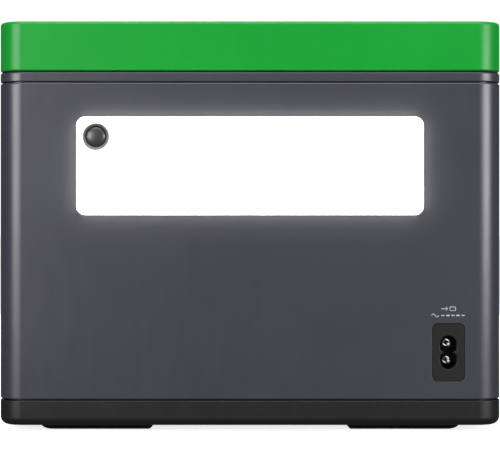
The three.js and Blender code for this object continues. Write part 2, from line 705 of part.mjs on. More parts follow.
function fanFrame() {
  const { size, depth, bore, hub, behind } = FAN;
  const end = behind + depth;
  const backLow = end - SPOKE.thickness;
  const ring = cut(
    alongY(roundedRect(size, size, 4), behind, end, { steps: 1 }),
    alongY(circle(bore), behind - 1, end + 1, { steps: 10 }),
  );
  const pieces = [ring, alongY(circle(hub), backLow, end, { steps: 6 })];
  for (let i = 0; i < SPOKE.count; i++) {
    const spoke = alongY(rect(0, bore + 1, -SPOKE.width / 2, SPOKE.width / 2), backLow, end);
    pieces.push(spoke.rotateY(((i + 0.5) / SPOKE.count) * 2 * Math.PI));
  }
  return join(...pieces);
}

function fanRotor() {
  const { depth, bore, hub, behind } = FAN;
  const { count, chord, thickness, pitch } = BLADE;
  const [low, high] = [behind + 1, behind + depth - SPOKE.thickness - GAP];
  const pieces = [alongY(circle(hub), low, high, { steps: 8 })];
  for (let i = 0; i < count; i++) {
    const blade = alongX(rect(-chord / 2, chord / 2, -thickness / 2, thickness / 2), hub - 1, bore);
    blade.rotateX(pitch).translate(0, (low + high) / 2, 0).rotateY((i / count) * 2 * Math.PI);
    pieces.push(blade);
  }
  const band = alongY(circle(bore - 1), low, high, { steps: 14 });
  return common(join(...pieces), band);
}

const grilleGeometry = ventGrille();
add(right, "vent_grille_right", grilleGeometry, GREY);
add(left, "vent_grille_left", grilleGeometry, GREY);
place(add(right, "fan_frame", fanFrame(), BLACK), 0, VENT.z);
place(add(right, "fan_rotor", fanRotor(), BLACK), 0, VENT.z);

// ---------------------------------------------------------------- handle
function handleBail() {
  const { halfWidth, arm, thickness, barLow, barHigh, boss } = BAIL;
  const [outerRound, innerRound] = [BAIL.outer, BAIL.inner];
  const inner = halfWidth - arm;
  const outline = new THREE.Shape();
  outline.moveTo(halfWidth, PIVOT.y);
  outline.lineTo(halfWidth, barHigh - outerRound);
  outline.absarc(halfWidth - outerRound, barHigh - outerRound, outerRound, 0, Math.PI / 2);
  outline.absarc(outerRound - halfWidth, barHigh - outerRound, outerRound, Math.PI / 2, Math.PI);
  outline.lineTo(-halfWidth, PIVOT.y);
  outline.lineTo(-inner, PIVOT.y);
  outline.absarc(innerRound - inner, barLow - innerRound, innerRound, Math.PI, Math.PI / 2, true);
  outline.absarc(inner - innerRound, barLow - innerRound, innerRound, Math.PI / 2, 0, true);
  outline.lineTo(inner, PIVOT.y);
  outline.closePath();
  const low = PIVOT.z - thickness / 2;
  const bosses = [-1, 1].map((side) => {
    const [from, to] = side > 0 ? [inner, halfWidth] : [-halfWidth, -inner];
    return alongX(circle(boss, PIVOT.y, PIVOT.z), from, to, { steps: 8 });
  });
  const reach = halfWidth + 1;
  const bore = alongX(circle(PIVOT.radius + GAP, PIVOT.y, PIVOT.z), -reach, reach, { steps: 6 });
  return cut(join(alongZ(outline, low, low + thickness, { round: 1.2, roundSteps: 1 }), ...bosses), bore);
}

function handleGrip() {
  const middle = (BAIL.barLow + BAIL.barHigh) / 2;
  const [barWidth, barThickness] = [BAIL.barHigh - BAIL.barLow + 2 * GAP, BAIL.thickness + 2 * GAP];
  const hole = roundedRect(barWidth, barThickness, 0.6, middle, PIVOT.z);
  const outer = roundedRect(GRIP.width, GRIP.thickness, GRIP.radius, middle, PIVOT.z);
  return cut(
    alongX(outer, -GRIP.length / 2, GRIP.length / 2, { steps: 2, round: 0.8, roundSteps: 1 }),
    alongX(hole, -GRIP.length, GRIP.length, { steps: 1 }),
  );
}

function handlePin() {
  const inner = BAIL.halfWidth - BAIL.arm - GAP;
  const wall = POCKET.width / 2 + WALL + GAP;
  return join(
    alongX(circle(PIVOT.radius), inner, wall + 1, { steps: 6 }),
    alongX(circle(PIVOT.head), wall, wall + PIVOT.headThickness, { steps: 6 }),
  );
}

add(powerStation, "handle_bail", handleBail(), BLACK);
add(powerStation, "handle_grip", handleGrip(), RUBBER);
const pivotPin = handlePin();
for (const [sideName, turn] of [["right", 0], ["left", Math.PI]]) {
  const pin = add(powerStation, `handle_pin_${sideName}`, pivotPin, STEEL);
  pin.position.set(0, PIVOT.y, PIVOT.z);
  pin.rotation.z = turn;
}

// ---------------------------------------------------------------- battery
const packLength = CELL.groups * CELL.pitch;
const packDepth = CELL.perGroup * CELL.pitch;

function batteryTray() {
  const [w, d] = [packLength + 2 * PACK.clearance, packDepth + 2 * PACK.clearance];
  const outer = roundedRect(w + 2 * PACK.wall, d + 2 * PACK.wall, 4, 0, PACK.y);
  const bottom = FOOT_HEIGHT + WALL + GAP;
  return cut(
    alongZ(outer, bottom, PACK.trayTop, { steps: 1 }),
    alongZ(roundedRect(w, d, 2, 0, PACK.y), CELL.bottom - GAP, PACK.trayTop + 1, { steps: 1 }),
  );
}

// Five cells side by side, welded to one nickel strip.
function cellGroup() {
  const top = CELL.bottom + CELL.height;
  const cells = [];
  for (let i = 0; i < CELL.perGroup; i++) {
    const y = (i - (CELL.perGroup - 1) / 2) * CELL.pitch;
    cells.push(alongZ(circle(CELL.radius, 0, y), CELL.bottom, top, { steps: 6 }));
  }
  const reach = ((CELL.perGroup - 1) / 2) * CELL.pitch + 4;
  return join(...cells, alongZ(rect(-4, 4, -reach, reach), top - 0.4, top + 0.6));
}

const cells = cellGroup();
for (let i = 0; i < CELL.groups; i++) {
  const group = add(powerStation, `cell_group_${i + 1}`, cells, CELL_BLUE);
  group.position.set((i - (CELL.groups - 1) / 2) * CELL.pitch, PACK.y, 0);
}

const coverLow = CELL.bottom + CELL.height + 1.2;
const bmsLow = coverLow + PACK.cover + 1.5;

function batteryCover() {
  const outline = roundedRect(packLength, packDepth, 4, 0, PACK.y);
  return alongZ(outline, coverLow, coverLow + PACK.cover, { steps: 1 });
}

function bmsBoard() {
  const top = bmsLow + BOARD;
  const block = (lowX, highX, lowY, highY, tall) =>
    alongZ(rect(lowX, highX, lowY, highY), top - 0.5, top + tall);
  return join(
    alongZ(rect(-60, 40, -40, 20), bmsLow, top),
    block(-58, -50, -34, -26, 5.4),
    block(-58, -50, -14, -6, 5.4),
    block(-30, 20, -36, -28, 4),
    block(-20, -6, -16, -2, 2),
    block(8, 26, -16, 4, 3),
  );
}

add(powerStation, "battery_tray", batteryTray(), BLACK);
add(powerStation, "battery_cover", batteryCover(), BLACK);
add(powerStation, "bms_board", bmsBoard(), CIRCUIT_GREEN);

// ---------------------------------------------------------------- inverter and its leads
const boardLow = 94;
const boardTop = boardLow + BOARD;

function inverterBoard() {
  const capacitor = (x) => alongZ(circle(9, x, 26), boardTop - 0.5, boardTop + 32, { steps: 8 });
  const terminal = (y) => alongZ(rect(-84, -76, y - 4, y + 4), boardTop - 0.5, boardTop + 8);
  return join(
    alongZ(rect(-88, 82, -66, 52), boardLow, boardTop),
    capacitor(-4),
    capacitor(18),
    capacitor(40),
    terminal(-30),
    terminal(-10),
    alongZ(rect(56, 74, 8, 40), boardTop - 0.5, boardTop + 16),
    alongZ(rect(-66, -44, -60, -44), boardTop - 0.5, boardTop + 12),
  );
}

function transformer() {
  const low = boardTop + GAP;
  return join(
    alongZ(roundedRect(30, 44, 3, -44, 24), low, low + 32, { steps: 1 }),
    alongZ(roundedRect(44, 24, 8, -44, 24), low + 5, low + 27, { steps: 2 }),
  );
}

function heatSink() {
  const [fins, pitch, tall] = [8, 6, 32];
  const low = boardTop + GAP;
  const pieces = [alongX(rect(-60, -60 + (fins - 1) * pitch + 2, low, low + 4), -30, 70)];
  for (let i = 0; i < fins; i++) {
    const y = -60 + i * pitch;
    pieces.push(alongX(rect(y, y + 2, low + 3, low + tall), -30, 70));
  }
  return join(...pieces);
}

function batteryLead(y) {
  const low = bmsLow + BOARD + 3;
  const high = boardTop + 5;
  const [start, bend, end] = [-58 - GAP, -96, -84 - GAP];
  return cable([
    [start, y, low],
    [start - 10, y, low],
    [bend + 6, y, low],
    [bend, y, low + 5],
    [bend, y, high - 4],
    [bend + 4, y, high],
    [end, y, high],
  ], 2.2);
}

add(powerStation, "inverter_board", inverterBoard(), CIRCUIT_GREEN);
add(powerStation, "transformer", transformer(), COPPER);
add(powerStation, "heat_sink", heatSink(), ALUMINIUM);
add(powerStation, "battery_lead_positive", batteryLead(-30), RED);
add(powerStation, "battery_lead_negative", batteryLead(-10), BLACK);

export default powerStation;
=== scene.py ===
"""The looks of the portable power station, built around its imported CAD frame.

Sizes are in millimetres and MM turns them into Blender's metres. The origin is on the floor under the middle
of the box. The lamp is on the rear face, at -Y, and the outlets are on the front face, at +Y. The lights and
the camera, at the end, are in metres.
"""

import math

import bmesh
import bpy
from mathutils import Matrix, Vector

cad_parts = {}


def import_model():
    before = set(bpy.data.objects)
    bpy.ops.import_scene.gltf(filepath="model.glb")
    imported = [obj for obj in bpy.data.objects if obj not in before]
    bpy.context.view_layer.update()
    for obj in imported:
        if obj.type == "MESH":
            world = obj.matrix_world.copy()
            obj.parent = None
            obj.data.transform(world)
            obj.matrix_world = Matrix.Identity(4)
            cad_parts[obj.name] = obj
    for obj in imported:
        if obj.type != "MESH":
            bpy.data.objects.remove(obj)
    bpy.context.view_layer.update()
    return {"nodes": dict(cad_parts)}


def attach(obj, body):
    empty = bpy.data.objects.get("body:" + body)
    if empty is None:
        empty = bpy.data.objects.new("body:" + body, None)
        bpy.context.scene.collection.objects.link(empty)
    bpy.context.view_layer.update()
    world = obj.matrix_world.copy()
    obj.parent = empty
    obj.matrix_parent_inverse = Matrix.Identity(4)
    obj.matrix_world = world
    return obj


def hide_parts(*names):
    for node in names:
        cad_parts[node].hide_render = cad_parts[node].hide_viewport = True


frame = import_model()

MM = 0.001

# ---------------- driving sizes
WIDTH, DEPTH, HEIGHT = 250, 180, 203.5
CORNER = 12
WALL = 2.5

# Heights of the shells' edges.
BASE_BOTTOM, BASE_TOP = 3, 15.4
BODY_BOTTOM, BODY_TOP = 16.15, 172.95
COLLAR_BOTTOM, COLLAR_TOP = 173.6, 178.15
COVER_BOTTOM = 178.9
SEAM_EDGE = 0.5  # fillet along each side of a seam
TONGUE = (-2.8, -4.3)  # outer and inner side of the rims that reach across the seams, behind the walls

FOOT_CENTRE, FOOT_SIZE, FOOT_CORNER = (77, 69), (56.4, 22), 5
BASE_CORNERS = {"rear_left": (-1, -1), "front_left": (-1, 1), "rear_right": (1, -1), "front_right": (1, 1)}

LAMP_CENTRE, LAMP_SIZE, LAMP_CORNER, LAMP_PROUD = (0, 131.7), (171.6, 48.5), 4.1, 2.2
LAMP_BUTTON = (-76.2, 146.2)
INLET_CENTRE, INLET_SIZE, INLET_CORNER = (98.3, 39.3), (16.1, 28.6), 2.8
INLET_DEPTH = 13.6
PIN_OFFSET = 4.3

FASCIA_CENTRE, FASCIA_SIZE, FASCIA_CORNER, FASCIA_SUNK = (0, 97), (212, 122), 8, 1
DISPLAY_CENTRE, DISPLAY_SIZE, DISPLAY_CORNER = (0, 130), (72, 42), 2.7
FRONT_BUTTONS = {"power": ((0, 88), 7), "ac": ((-74, 62), 6), "dc": ((84, 118), 6)}
OUTLETS = {"upper": (-74, 134), "lower": (-74, 98)}
OUTLET_SIZE, OUTLET_CORNER = (34, 28), 9
USB_A_PORTS = {"upper": (54, 141), "lower": (54, 122)}
USB_A_SIZE, USB_A_CORNER = (14, 6.8), 0.8
USB_C_PORT, USB_C_SIZE = (84, 141), (9.6, 4)
CAR_SOCKET, CAR_SOCKET_RADIUS = (68, 78), 13.2
DC_JACK, DC_JACK_RADIUS = (0, 58), 5.2

VENT_CENTRE, VENT_SIZE, VENT_CORNER = (0, 122), (88, 68), 6
VENT_SLOTS, VENT_PITCH, VENT_SLOT = 9, 6.6, 3.4

POCKET_CENTRE, POCKET_SIZE, POCKET_CORNER, POCKET_FLOOR = (0, 27), (200, 78), 10, 185.5
PIVOT_Z, PIVOT_BORE = 197.5, 2.3
BAIL_HALF, BAIL_REACH = 93, 54  # half its width, and how far its bar lies from the pivots when it is folded

# ---------------- where the faces are
PLAN = Matrix.Identity(4)  # the world's own frame, for outlines drawn from above


def face_matrix(right, up, inwards, origin):
    """The frame with those three directions at that origin."""
    matrix = Matrix((right, up, inwards)).transposed().to_4x4()
    matrix.translation = Vector(origin)
    return matrix


# Each face's own frame has X to the right of someone looking at it, Y up and Z into the box.
REAR = face_matrix((1, 0, 0), (0, 0, 1), (0, 1, 0), (0, -DEPTH / 2, 0))
FRONT = face_matrix((-1, 0, 0), (0, 0, 1), (0, -1, 0), (0, DEPTH / 2, 0))
RIGHT = face_matrix((0, 1, 0), (0, 0, 1), (-1, 0, 0), (WIDTH / 2, 0, 0))
LEFT = face_matrix((0, -1, 0), (0, 0, 1), (1, 0, 0), (-WIDTH / 2, 0, 0))
# The front face seen edge-on: X into the box, Y up and Z across the face.
FRONT_EDGE_ON = face_matrix((0, -1, 0), (0, 0, 1), (-1, 0, 0), (0, DEPTH / 2, 0))


def crosswise(y, z):
    """A frame whose Z runs from left to right through (y, z), with X to the front and Y up."""
    return face_matrix((0, 1, 0), (0, 0, 1), (1, 0, 0), (0, y, z))


PIVOT_AXIS = crosswise(0, PIVOT_Z)


# ---------------- outlines and paths
def rounded(size, radius, centre=(0, 0), steps=10):
    """The points of a rounded rectangle, anticlockwise, with that many steps in each corner."""
    points = []
    for quarter, (sx, sy) in enumerate([(1, 1), (-1, 1), (-1, -1), (1, -1)]):
        x = centre[0] + sx * (size[0] / 2 - radius)
        y = centre[1] + sy * (size[1] / 2 - radius)
        for i in range(steps + 1):
            angle = math.pi / 2 * (quarter + i / steps)
            points.append((x + radius * math.cos(angle), y + radius * math.sin(angle)))
    return points


def circle(radius, centre=(0, 0), steps=48):
    """The points of a circle, anticlockwise."""
    angles = [2 * math.pi * i / steps for i in range(steps)]
    return [(centre[0] + radius * math.cos(a), centre[1] + radius * math.sin(a)) for a in angles]


def grown(outline, distance):
    """The outline with every side moved outwards by a distance."""
    moved = []
    for i, point in enumerate(outline):
        here = Vector(point)
        before = here - Vector(outline[i - 1])
        after = Vector(outline[(i + 1) % len(outline)]) - here
        n1 = Vector((before.y, -before.x)).normalized()
        n2 = Vector((after.y, -after.x)).normalized()
        shift = (n1 + n2) / (1 + n1.dot(n2)) * distance
        moved.append(tuple(here + shift))
    return moved


def softened(corners, steps=5):
    """A closed path through (u, v, radius) corners, with each corner rounded by its radius."""
    path = []
    for k, (u, v, radius) in enumerate(corners):
        corner = Vector((u, v))
        if radius == 0:
            path.append((u, v))
            continue
        to_before = (Vector(corners[k - 1][:2]) - corner).normalized()
        to_after = (Vector(corners[(k + 1) % len(corners)][:2]) - corner).normalized()
        half = to_before.angle(to_after) / 2
        centre = corner + (to_before + to_after).normalized() * radius / math.sin(half)
        reach = radius / math.tan(half)
        start = corner + to_before * reach - centre
        end = corner + to_after * reach - centre
        turn = math.atan2(start.x * end.y - start.y * end.x, start.dot(end))
        for i in range(steps + 1):
            path.append(tuple(centre + Matrix.Rotation(turn * i / steps, 2) @ start))
    return path


# ---------------- solids
def new_object(bm):
    """Puts a finished mesh into the scene."""
    mesh = bpy.data.meshes.new("part")
    bm.to_mesh(mesh)
    bm.free()
    obj = bpy.data.objects.new("part", mesh)
    bpy.context.scene.collection.objects.link(obj)
    return obj


def new_solid(bm):
    """Puts a closed mesh into the scene with its faces turned outwards."""
    bmesh.ops.recalc_face_normals(bm, faces=bm.faces)
    return new_object(bm)


def loft(rings, place=PLAN, closed=False):
    """A solid through successive rings of points, capped at its ends unless the last ring meets the first."""
    bm = bmesh.new()
    rows = [[bm.verts.new(place @ Vector(p) * MM) for p in ring] for ring in rings]
    following = rows[1:] + rows[:1] if closed else rows[1:]
    for near, far in zip(rows, following):
        for i in range(len(near)):
            j = (i + 1) % len(near)
            bm.faces.new((near[i], near[j], far[j], far[i]))
    if not closed:
        bm.faces.new(rows[0])
        bm.faces.new(rows[-1])
    return new_solid(bm)


def layered(outline, profile, place=PLAN, closed=False):
    """A solid whose sections are the outline, grown by u at each depth v of the profile."""
    rings = [[(x, y, v) for x, y in grown(outline, u)] for u, v in profile]
    return loft(rings, place, closed)


def plate(outline, low, high, place, low_edge=0.0, high_edge=0.0):
    """A slab from depth low to high with rounded edges."""
    inset = max(low_edge, high_edge) + 0.05
    corners = [(-inset, low, 0), (0, low, low_edge), (0, high, high_edge), (-inset, high, 0)]
    return layered(outline, softened(corners), place)


def pusher(outline, low, high, place, edge, surface=0, steps=5):
    """A cutter from depth low to high that leaves a rounded edge where it goes in at the surface's depth."""
    arc = [math.pi / 2 * i / steps for i in range(steps + 1)]
    mouth = [(edge * (1 - math.sin(a)), surface + edge * (1 - math.cos(a))) for a in arc]
    return layered(outline, [(edge, low), *mouth, (0, high)], place)


def turned(profile, place=PLAN, centre=(0, 0), segments=48):
    """A turned solid from (radius, depth) pairs, first and last on the axis or a closed ring."""
    bm = bmesh.new()
    rows = []
    for radius, depth in profile:
        if radius == 0:
            rows.append([bm.verts.new(place @ Vector((*centre, depth)) * MM)])
            continue
        row = [bm.verts.new(place @ Vector((x, y, depth)) * MM) for x, y in circle(radius, centre, segments)]
        rows.append(row)
    on_axis = profile[0][0] == 0
    following = rows[1:] if on_axis else rows[1:] + rows[:1]
    for near, far in zip(rows, following):
        for i in range(segments):
            j = (i + 1) % segments
            corners = [near[i % len(near)], near[j % len(near)], far[j % len(far)], far[i % len(far)]]
            bm.faces.new(list(dict.fromkeys(corners)))
    return new_solid(bm)


def rod(radius, low, high, place=PLAN, centre=(0, 0)):
    """A plain round bar, mostly used as a drill."""
    return turned([(0, low), (radius, low), (radius, high), (0, high)], place, centre)


def box(low, high, place=PLAN):
    """A plain block between two opposite corners."""
    outline = [(low[0], low[1]), (high[0], low[1]), (high[0], high[1]), (low[0], high[1])]
    return loft([[(x, y, z) for x, y in outline] for z in (low[2], high[2])], place)


def applied(obj):
    """Turns an object's modifiers into its mesh."""
    graph = bpy.context.evaluated_depsgraph_get()
    mesh = bpy.data.meshes.new_from_object(obj.evaluated_get(graph))
    obj.modifiers.clear()
    obj.data = mesh
    return obj


def combined(operation, base, tools):
    """The base after a boolean with each tool in turn. The tools are used up."""
    for tool in tools:
        modifier = base.modifiers.new("combine", "BOOLEAN")
        modifier.operation = operation
        modifier.solver = "EXACT"
        modifier.object = tool
    applied(base)
    for tool in tools:
        bpy.data.objects.remove(tool)
    return base


def cut(base, *tools):
    return combined("DIFFERENCE", base, tools)


def fused(base, *tools):
    return combined("UNION", base, tools)


def gathered(parts):
    """One object that holds the meshes of several, without joining their surfaces."""
    bm = bmesh.new()
    for part in parts:
        bm.from_mesh(part.data)
        bpy.data.objects.remove(part)
    return new_object(bm)


def piece(name, obj, look, body="station", replaces=(), sharp_angle=32):
    """Names a finished piece, gives it its material and smooth shading, and ties it to its CAD body."""
    obj.name = name
    obj.data.name = name
    obj.data.materials.clear()
    obj.data.materials.append(look)
    for polygon in obj.data.polygons:
        polygon.use_smooth = True
        polygon.material_index = 0
    obj.data.set_sharp_from_angle(angle=math.radians(sharp_angle))
    weighted = obj.modifiers.new("flat faces stay flat", "WEIGHTED_NORMAL")
    weighted.keep_sharp = True
    weighted.weight = 100
    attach(obj, body)
    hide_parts(*replaces)
    return obj


# ---------------- materials
class Look:
    """A material under construction: a Principled shader and the nodes that feed it."""

    def __init__(self, name, **constants):
        self.material = bpy.data.materials.new(name)
        self.material.use_nodes = True
        self.tree = self.material.node_tree
        self.shader = self.tree.nodes["Principled BSDF"]
        self.place = self.node("ShaderNodeTexCoord").outputs["Object"]
        for socket, value in constants.items():
            self.shader.inputs[socket.replace("_", " ")].default_value = value

    def node(self, kind, **settings):
        """A new node. Each setting is the value of the socket of that name, or a property of the node."""
        made = self.tree.nodes.new(kind)
        for key, value in settings.items():
            socket = key.replace("_", " ")
            if socket in made.inputs:
                made.inputs[socket].default_value = value
            else:
                setattr(made, key, value)
        return made

    def link(self, source, target):
        self.tree.links.new(source, target)

    def noise(self, size, detail=2.0, stretch=None):
        """Noise whose features are about `size` millimetres across."""
        made = self.node("ShaderNodeTexNoise", Scale=1 / (size * MM), Detail=detail)
        source = self.place
        if stretch:
            mapping = self.node("ShaderNodeMapping", Scale=stretch)
            self.link(source, mapping.inputs["Vector"])
            source = mapping.outputs["Vector"]
        self.link(source, made.inputs["Vector"])
        return made.outputs["Fac"]

    def ranged(self, value, low, high, source_low=0.3, source_high=0.7):
        """A value spread over a new range. The source's limits suit noise, which stays near its middle."""
        limits = {"From_Min": source_low, "From_Max": source_high, "To_Min": low, "To_Max": high}
        made = self.node("ShaderNodeMapRange", **limits)
        self.link(value, made.inputs["Value"])
        return made.outputs["Result"]

    def mixed(self, factor, first, second):
        """A colour between two others."""
        made = self.node("ShaderNodeMix", data_type="RGBA")
        sockets = [s for s in made.inputs if s.type == "RGBA"]
        sockets[0].default_value = (*first, 1)
        sockets[1].default_value = (*second, 1)
        self.link(factor, made.inputs["Factor"])
        return [s for s in made.outputs if s.type == "RGBA"][0]

    def bump(self, height, distance, strength=1.0):
        """A relief that is `distance` millimetres deep."""
        made = self.node("ShaderNodeBump", Distance=distance * MM, Strength=strength)
        self.link(height, made.inputs["Height"])
        return made.outputs["Normal"]

    def set(self, **sources):
        """Links the shader's sockets to their sources, and gives the finished material."""
        for socket, source in sources.items():
            self.link(source, self.shader.inputs[socket.replace("_", " ")])
        return self.material


def shade(color, factor):
    return tuple(channel * factor for channel in color)


def moulded(name, color, roughness, grain=0.35, relief=0.02, spread=0.05, **constants):
    """Injection-moulded plastic: an even spark-eroded grain, faint flow mottling and uneven gloss."""
    look = Look(name, **constants)
    cloud = look.noise(38, detail=3)
    grain_noise = look.noise(grain, detail=1.5)
    scuffs = look.noise(6, detail=4, stretch=(1, 1, 0.25))
    base = look.mixed(look.ranged(cloud, 0, 1), shade(color, 1 - spread), shade(color, 1 + spread))
    gloss = look.ranged(scuffs, roughness * 0.94, roughness * 1.07)
    normal = look.bump(grain_noise, relief, 0.5)
    return look.set(Base_Color=base, Roughness=gloss, Normal=normal)


def rubbery(name, color, roughness, **constants):
    """Dusty rubber with a fine moulded grain."""
    look = Look(name, **constants)
    base = look.mixed(look.ranged(look.noise(9, detail=4), 0, 1), shade(color, 0.8), shade(color, 1.25))
    gloss = look.ranged(look.noise(3, detail=3), roughness * 0.9, min(1, roughness * 1.1))
    return look.set(Base_Color=base, Roughness=gloss, Normal=look.bump(look.noise(0.5), 0.04, 0.6))


def foam(name, color):
    """Open-celled foam: a pore relief, with paler walls and painted shade that darkens the colour in each
    pore.
    """
    look = Look(name, Specular_IOR_Level=0.2)
    pore_relief_and_shade = look.ranged(look.noise(0.9, detail=3), 0, 1, 0.42, 0.58)
    # Painted shade: the same mask that sets the pore relief darkens the colour in each pore, where shade
    # falls.
    base = look.mixed(pore_relief_and_shade, shade(color, 0.25), shade(color, 1.3))
    gloss = look.ranged(look.noise(5), 0.85, 1)
    return look.set(Base_Color=base, Roughness=gloss, Normal=look.bump(pore_relief_and_shade, 0.4, 0.8))


def metallic(name, color, roughness, stretch=(1, 1, 1), relief=0.004):
    """Bare or plated metal with fine streaks, drawn out along an axis by a small stretch."""
    look = Look(name, Metallic=1.0)
    streaks = look.noise(0.8, detail=4, stretch=stretch)
    base = look.mixed(look.ranged(look.noise(7, detail=3), 0, 1), shade(color, 0.88), color)
    gloss = look.ranged(streaks, roughness * 0.7, roughness * 1.4)
    return look.set(Base_Color=base, Roughness=gloss, Normal=look.bump(streaks, relief, 0.6))


def lit_opal(name, color, strength):
    """The lamp's opal lens, lit from behind. Only the part that stands out of the wall glows."""
    look = Look(name, Roughness=0.35, Emission_Strength=strength)
    haze = look.ranged(look.noise(24, detail=2), 0, 1)
    split = look.node("ShaderNodeSeparateXYZ")
    look.link(look.place, split.inputs["Vector"])
    outside = (-DEPTH / 2 + 1) * MM
    glow = look.mixed(look.ranged(split.outputs["Y"], 0, 1, outside, outside - MM / 2), (0, 0, 0), color)
    pearl = look.mixed(haze, (0.86, 0.87, 0.88), (0.93, 0.93, 0.93))
    return look.set(Base_Color=pearl, Emission_Color=glow, Normal=look.bump(look.noise(0.8), 0.01, 0.4))


def glowing(name, color, strength):
    """The lit segments of a display."""
    look = Look(name, Roughness=0.3, Emission_Strength=strength)
    glow = look.mixed(look.ranged(look.noise(2), 0, 1), shade(color, 0.9), color)
    return look.set(Base_Color=glow, Emission_Color=glow)


def circuit_board(name):
    """Green solder mask with copper tracks showing through as a paler pattern."""
    look = Look(name, Roughness=0.4)
    tracks = look.node(
        "ShaderNodeTexBrick",
        Scale=90,
        Color1=(0.012, 0.09, 0.035, 1),
        Color2=(0.016, 0.12, 0.048, 1),
        Mortar=(0.04, 0.2, 0.08, 1),
        Mortar_Size=0.012,
    )
    look.link(look.place, tracks.inputs["Vector"])
    gloss = look.ranged(look.noise(4), 0.32, 0.48)
    relief = look.bump(look.noise(1.5), 0.02)
    return look.set(Base_Color=tracks.outputs["Color"], Roughness=gloss, Normal=relief)


def wound_copper(name):
    """Turns of enamelled wire, wound about Z, with painted shade in the grooves between the turns."""
    look = Look(name, Metallic=1.0)
    turns = look.node("ShaderNodeTexWave", Scale=220, Distortion=0.4, bands_direction="Z")
    look.link(look.place, turns.inputs["Vector"])
    # Painted shade: the colour follows the turns' bands and goes dark in the grooves between them.
    base = look.mixed(turns.outputs["Fac"], (0.22, 0.07, 0.02), (0.62, 0.26, 0.1))
    gloss = look.ranged(look.noise(2), 0.25, 0.45)
    return look.set(Base_Color=base, Roughness=gloss, Normal=look.bump(turns.outputs["Fac"], 0.2, 0.7))


def display_glass():
    """Near-black glass under a clear coat, with a few wiped smears."""
    look = Look("display glass", Coat_Weight=0.6, Coat_Roughness=0.03)
    smear = look.ranged(look.noise(12, detail=5, stretch=(0.4, 1, 1)), 0.06, 0.16)
    base = look.mixed(look.ranged(look.noise(20), 0, 1), (0.003, 0.003, 0.004), (0.006, 0.006, 0.007))
    return look.set(Base_Color=base, Roughness=smear)


GREEN = moulded(
    "green plastic", (0.004, 0.335, 0.03), 0.36, relief=0.012, spread=0.03, Specular_IOR_Level=0.4
)
GREY = moulded("grey plastic", (0.0465, 0.047, 0.062), 0.34, relief=0.012, Specular_IOR_Level=0.8)
BLACK = moulded("black plastic", (0.0118, 0.0118, 0.0118), 0.42, relief=0.02)
FASCIA_BLACK = moulded("fascia plastic", (0.012, 0.012, 0.013), 0.5, grain=0.5, relief=0.04)
INLET_BLACK = moulded("inlet plastic", (0.0105, 0.0105, 0.0105), 0.45, relief=0.01)
SOCKET_BLACK = moulded("socket plastic", (0.012, 0.012, 0.013), 0.35, relief=0.008)
BUTTON_GREY = moulded("button plastic", (0.042, 0.042, 0.044), 0.36, relief=0.004, Specular_IOR_Level=0.95)
BEZEL_GREY = moulded("bezel plastic", (0.2, 0.2, 0.205), 0.25, relief=0.004)
PORT_WHITE = moulded("port plastic", (0.7, 0.7, 0.68), 0.4, relief=0.006)
PORT_BLUE = moulded("port tongue plastic", (0.02, 0.12, 0.5), 0.35, relief=0.006)
INK = moulded("white ink", (0.6, 0.6, 0.6), 0.6, grain=0.2, relief=0.01)
RUBBER = rubbery("rubber", (0.005, 0.005, 0.005), 0.7, Specular_IOR_Level=0.3)
GRIP_RUBBER = rubbery("grip rubber", (0.013, 0.013, 0.014), 0.65)
FOAM = foam("filter foam", (0.022, 0.022, 0.024))
LAMP = lit_opal("lit lamp lens", (1.0, 1.0, 1.0), 1.1)
SCREEN_GLOW = glowing("lit display segments", (0.55, 0.85, 1.0), 1.2)
NICKEL = metallic("nickel plate", (0.72, 0.7, 0.67), 0.22)
POLISHED = metallic("polished nickel", (0.78, 0.77, 0.75), 0.09, relief=0.001)
ALUMINIUM = metallic("extruded aluminium", (0.55, 0.56, 0.58), 0.38, stretch=(0.05, 1, 1))
COPPER = wound_copper("wound copper")
BOARD = circuit_board("circuit board")
WRAP = moulded("cell wrap", (0.028, 0.16, 0.34), 0.3, relief=0.006)
RED_LEAD = rubbery("red lead", (0.4, 0.01, 0.01), 0.5)
BLACK_LEAD = rubbery("black lead", (0.012, 0.012, 0.012), 0.5)
GLASS = display_glass()

# ---------------- shells
BOX = rounded((WIDTH, DEPTH), CORNER, steps=16)


def opening(size, radius, centre, face, edge=0.35, clearance=0.3):
    """A cutter for the hole that a panel needs in the housing's wall."""
    return pusher(grown(rounded(size, radius, centre), clearance), -6, 12, face, edge)


def flanged(outline, front, back, face, edge=0.3, inset=4, flange=3, flange_edge=0):
    """A panel that fills a hole in the housing's wall, with a flange behind the wall that holds it."""
    behind = WALL + 0.3
    return layered(outline, softened([
        (-inset, front, 0),
        (0, front, edge),
        (0, behind, 0),
        (flange, behind, flange_edge),
        (flange, back, flange_edge),
        (-inset, back, 0),
    ]), face)


def housing():
    """The grey sleeve that is the four walls."""
    wall = softened([
        (0, BODY_BOTTOM, SEAM_EDGE),
        (0, BODY_TOP, 0.7),
        (-WALL, BODY_TOP, 0.2),
        (-WALL, BODY_BOTTOM, 0.2),
    ])
    shell = cut(
        layered(BOX, wall, closed=True),
        opening(LAMP_SIZE, LAMP_CORNER, LAMP_CENTRE, REAR),
        opening(INLET_SIZE, INLET_CORNER, INLET_CENTRE, REAR, edge=0.25, clearance=0.12),
        opening(FASCIA_SIZE, FASCIA_CORNER, FASCIA_CENTRE, FRONT, edge=0.6),
        opening(VENT_SIZE, VENT_CORNER, VENT_CENTRE, RIGHT),
        opening(VENT_SIZE, VENT_CORNER, VENT_CENTRE, LEFT),
    )
    piece("housing_shell", shell, GREY, replaces=["housing"])


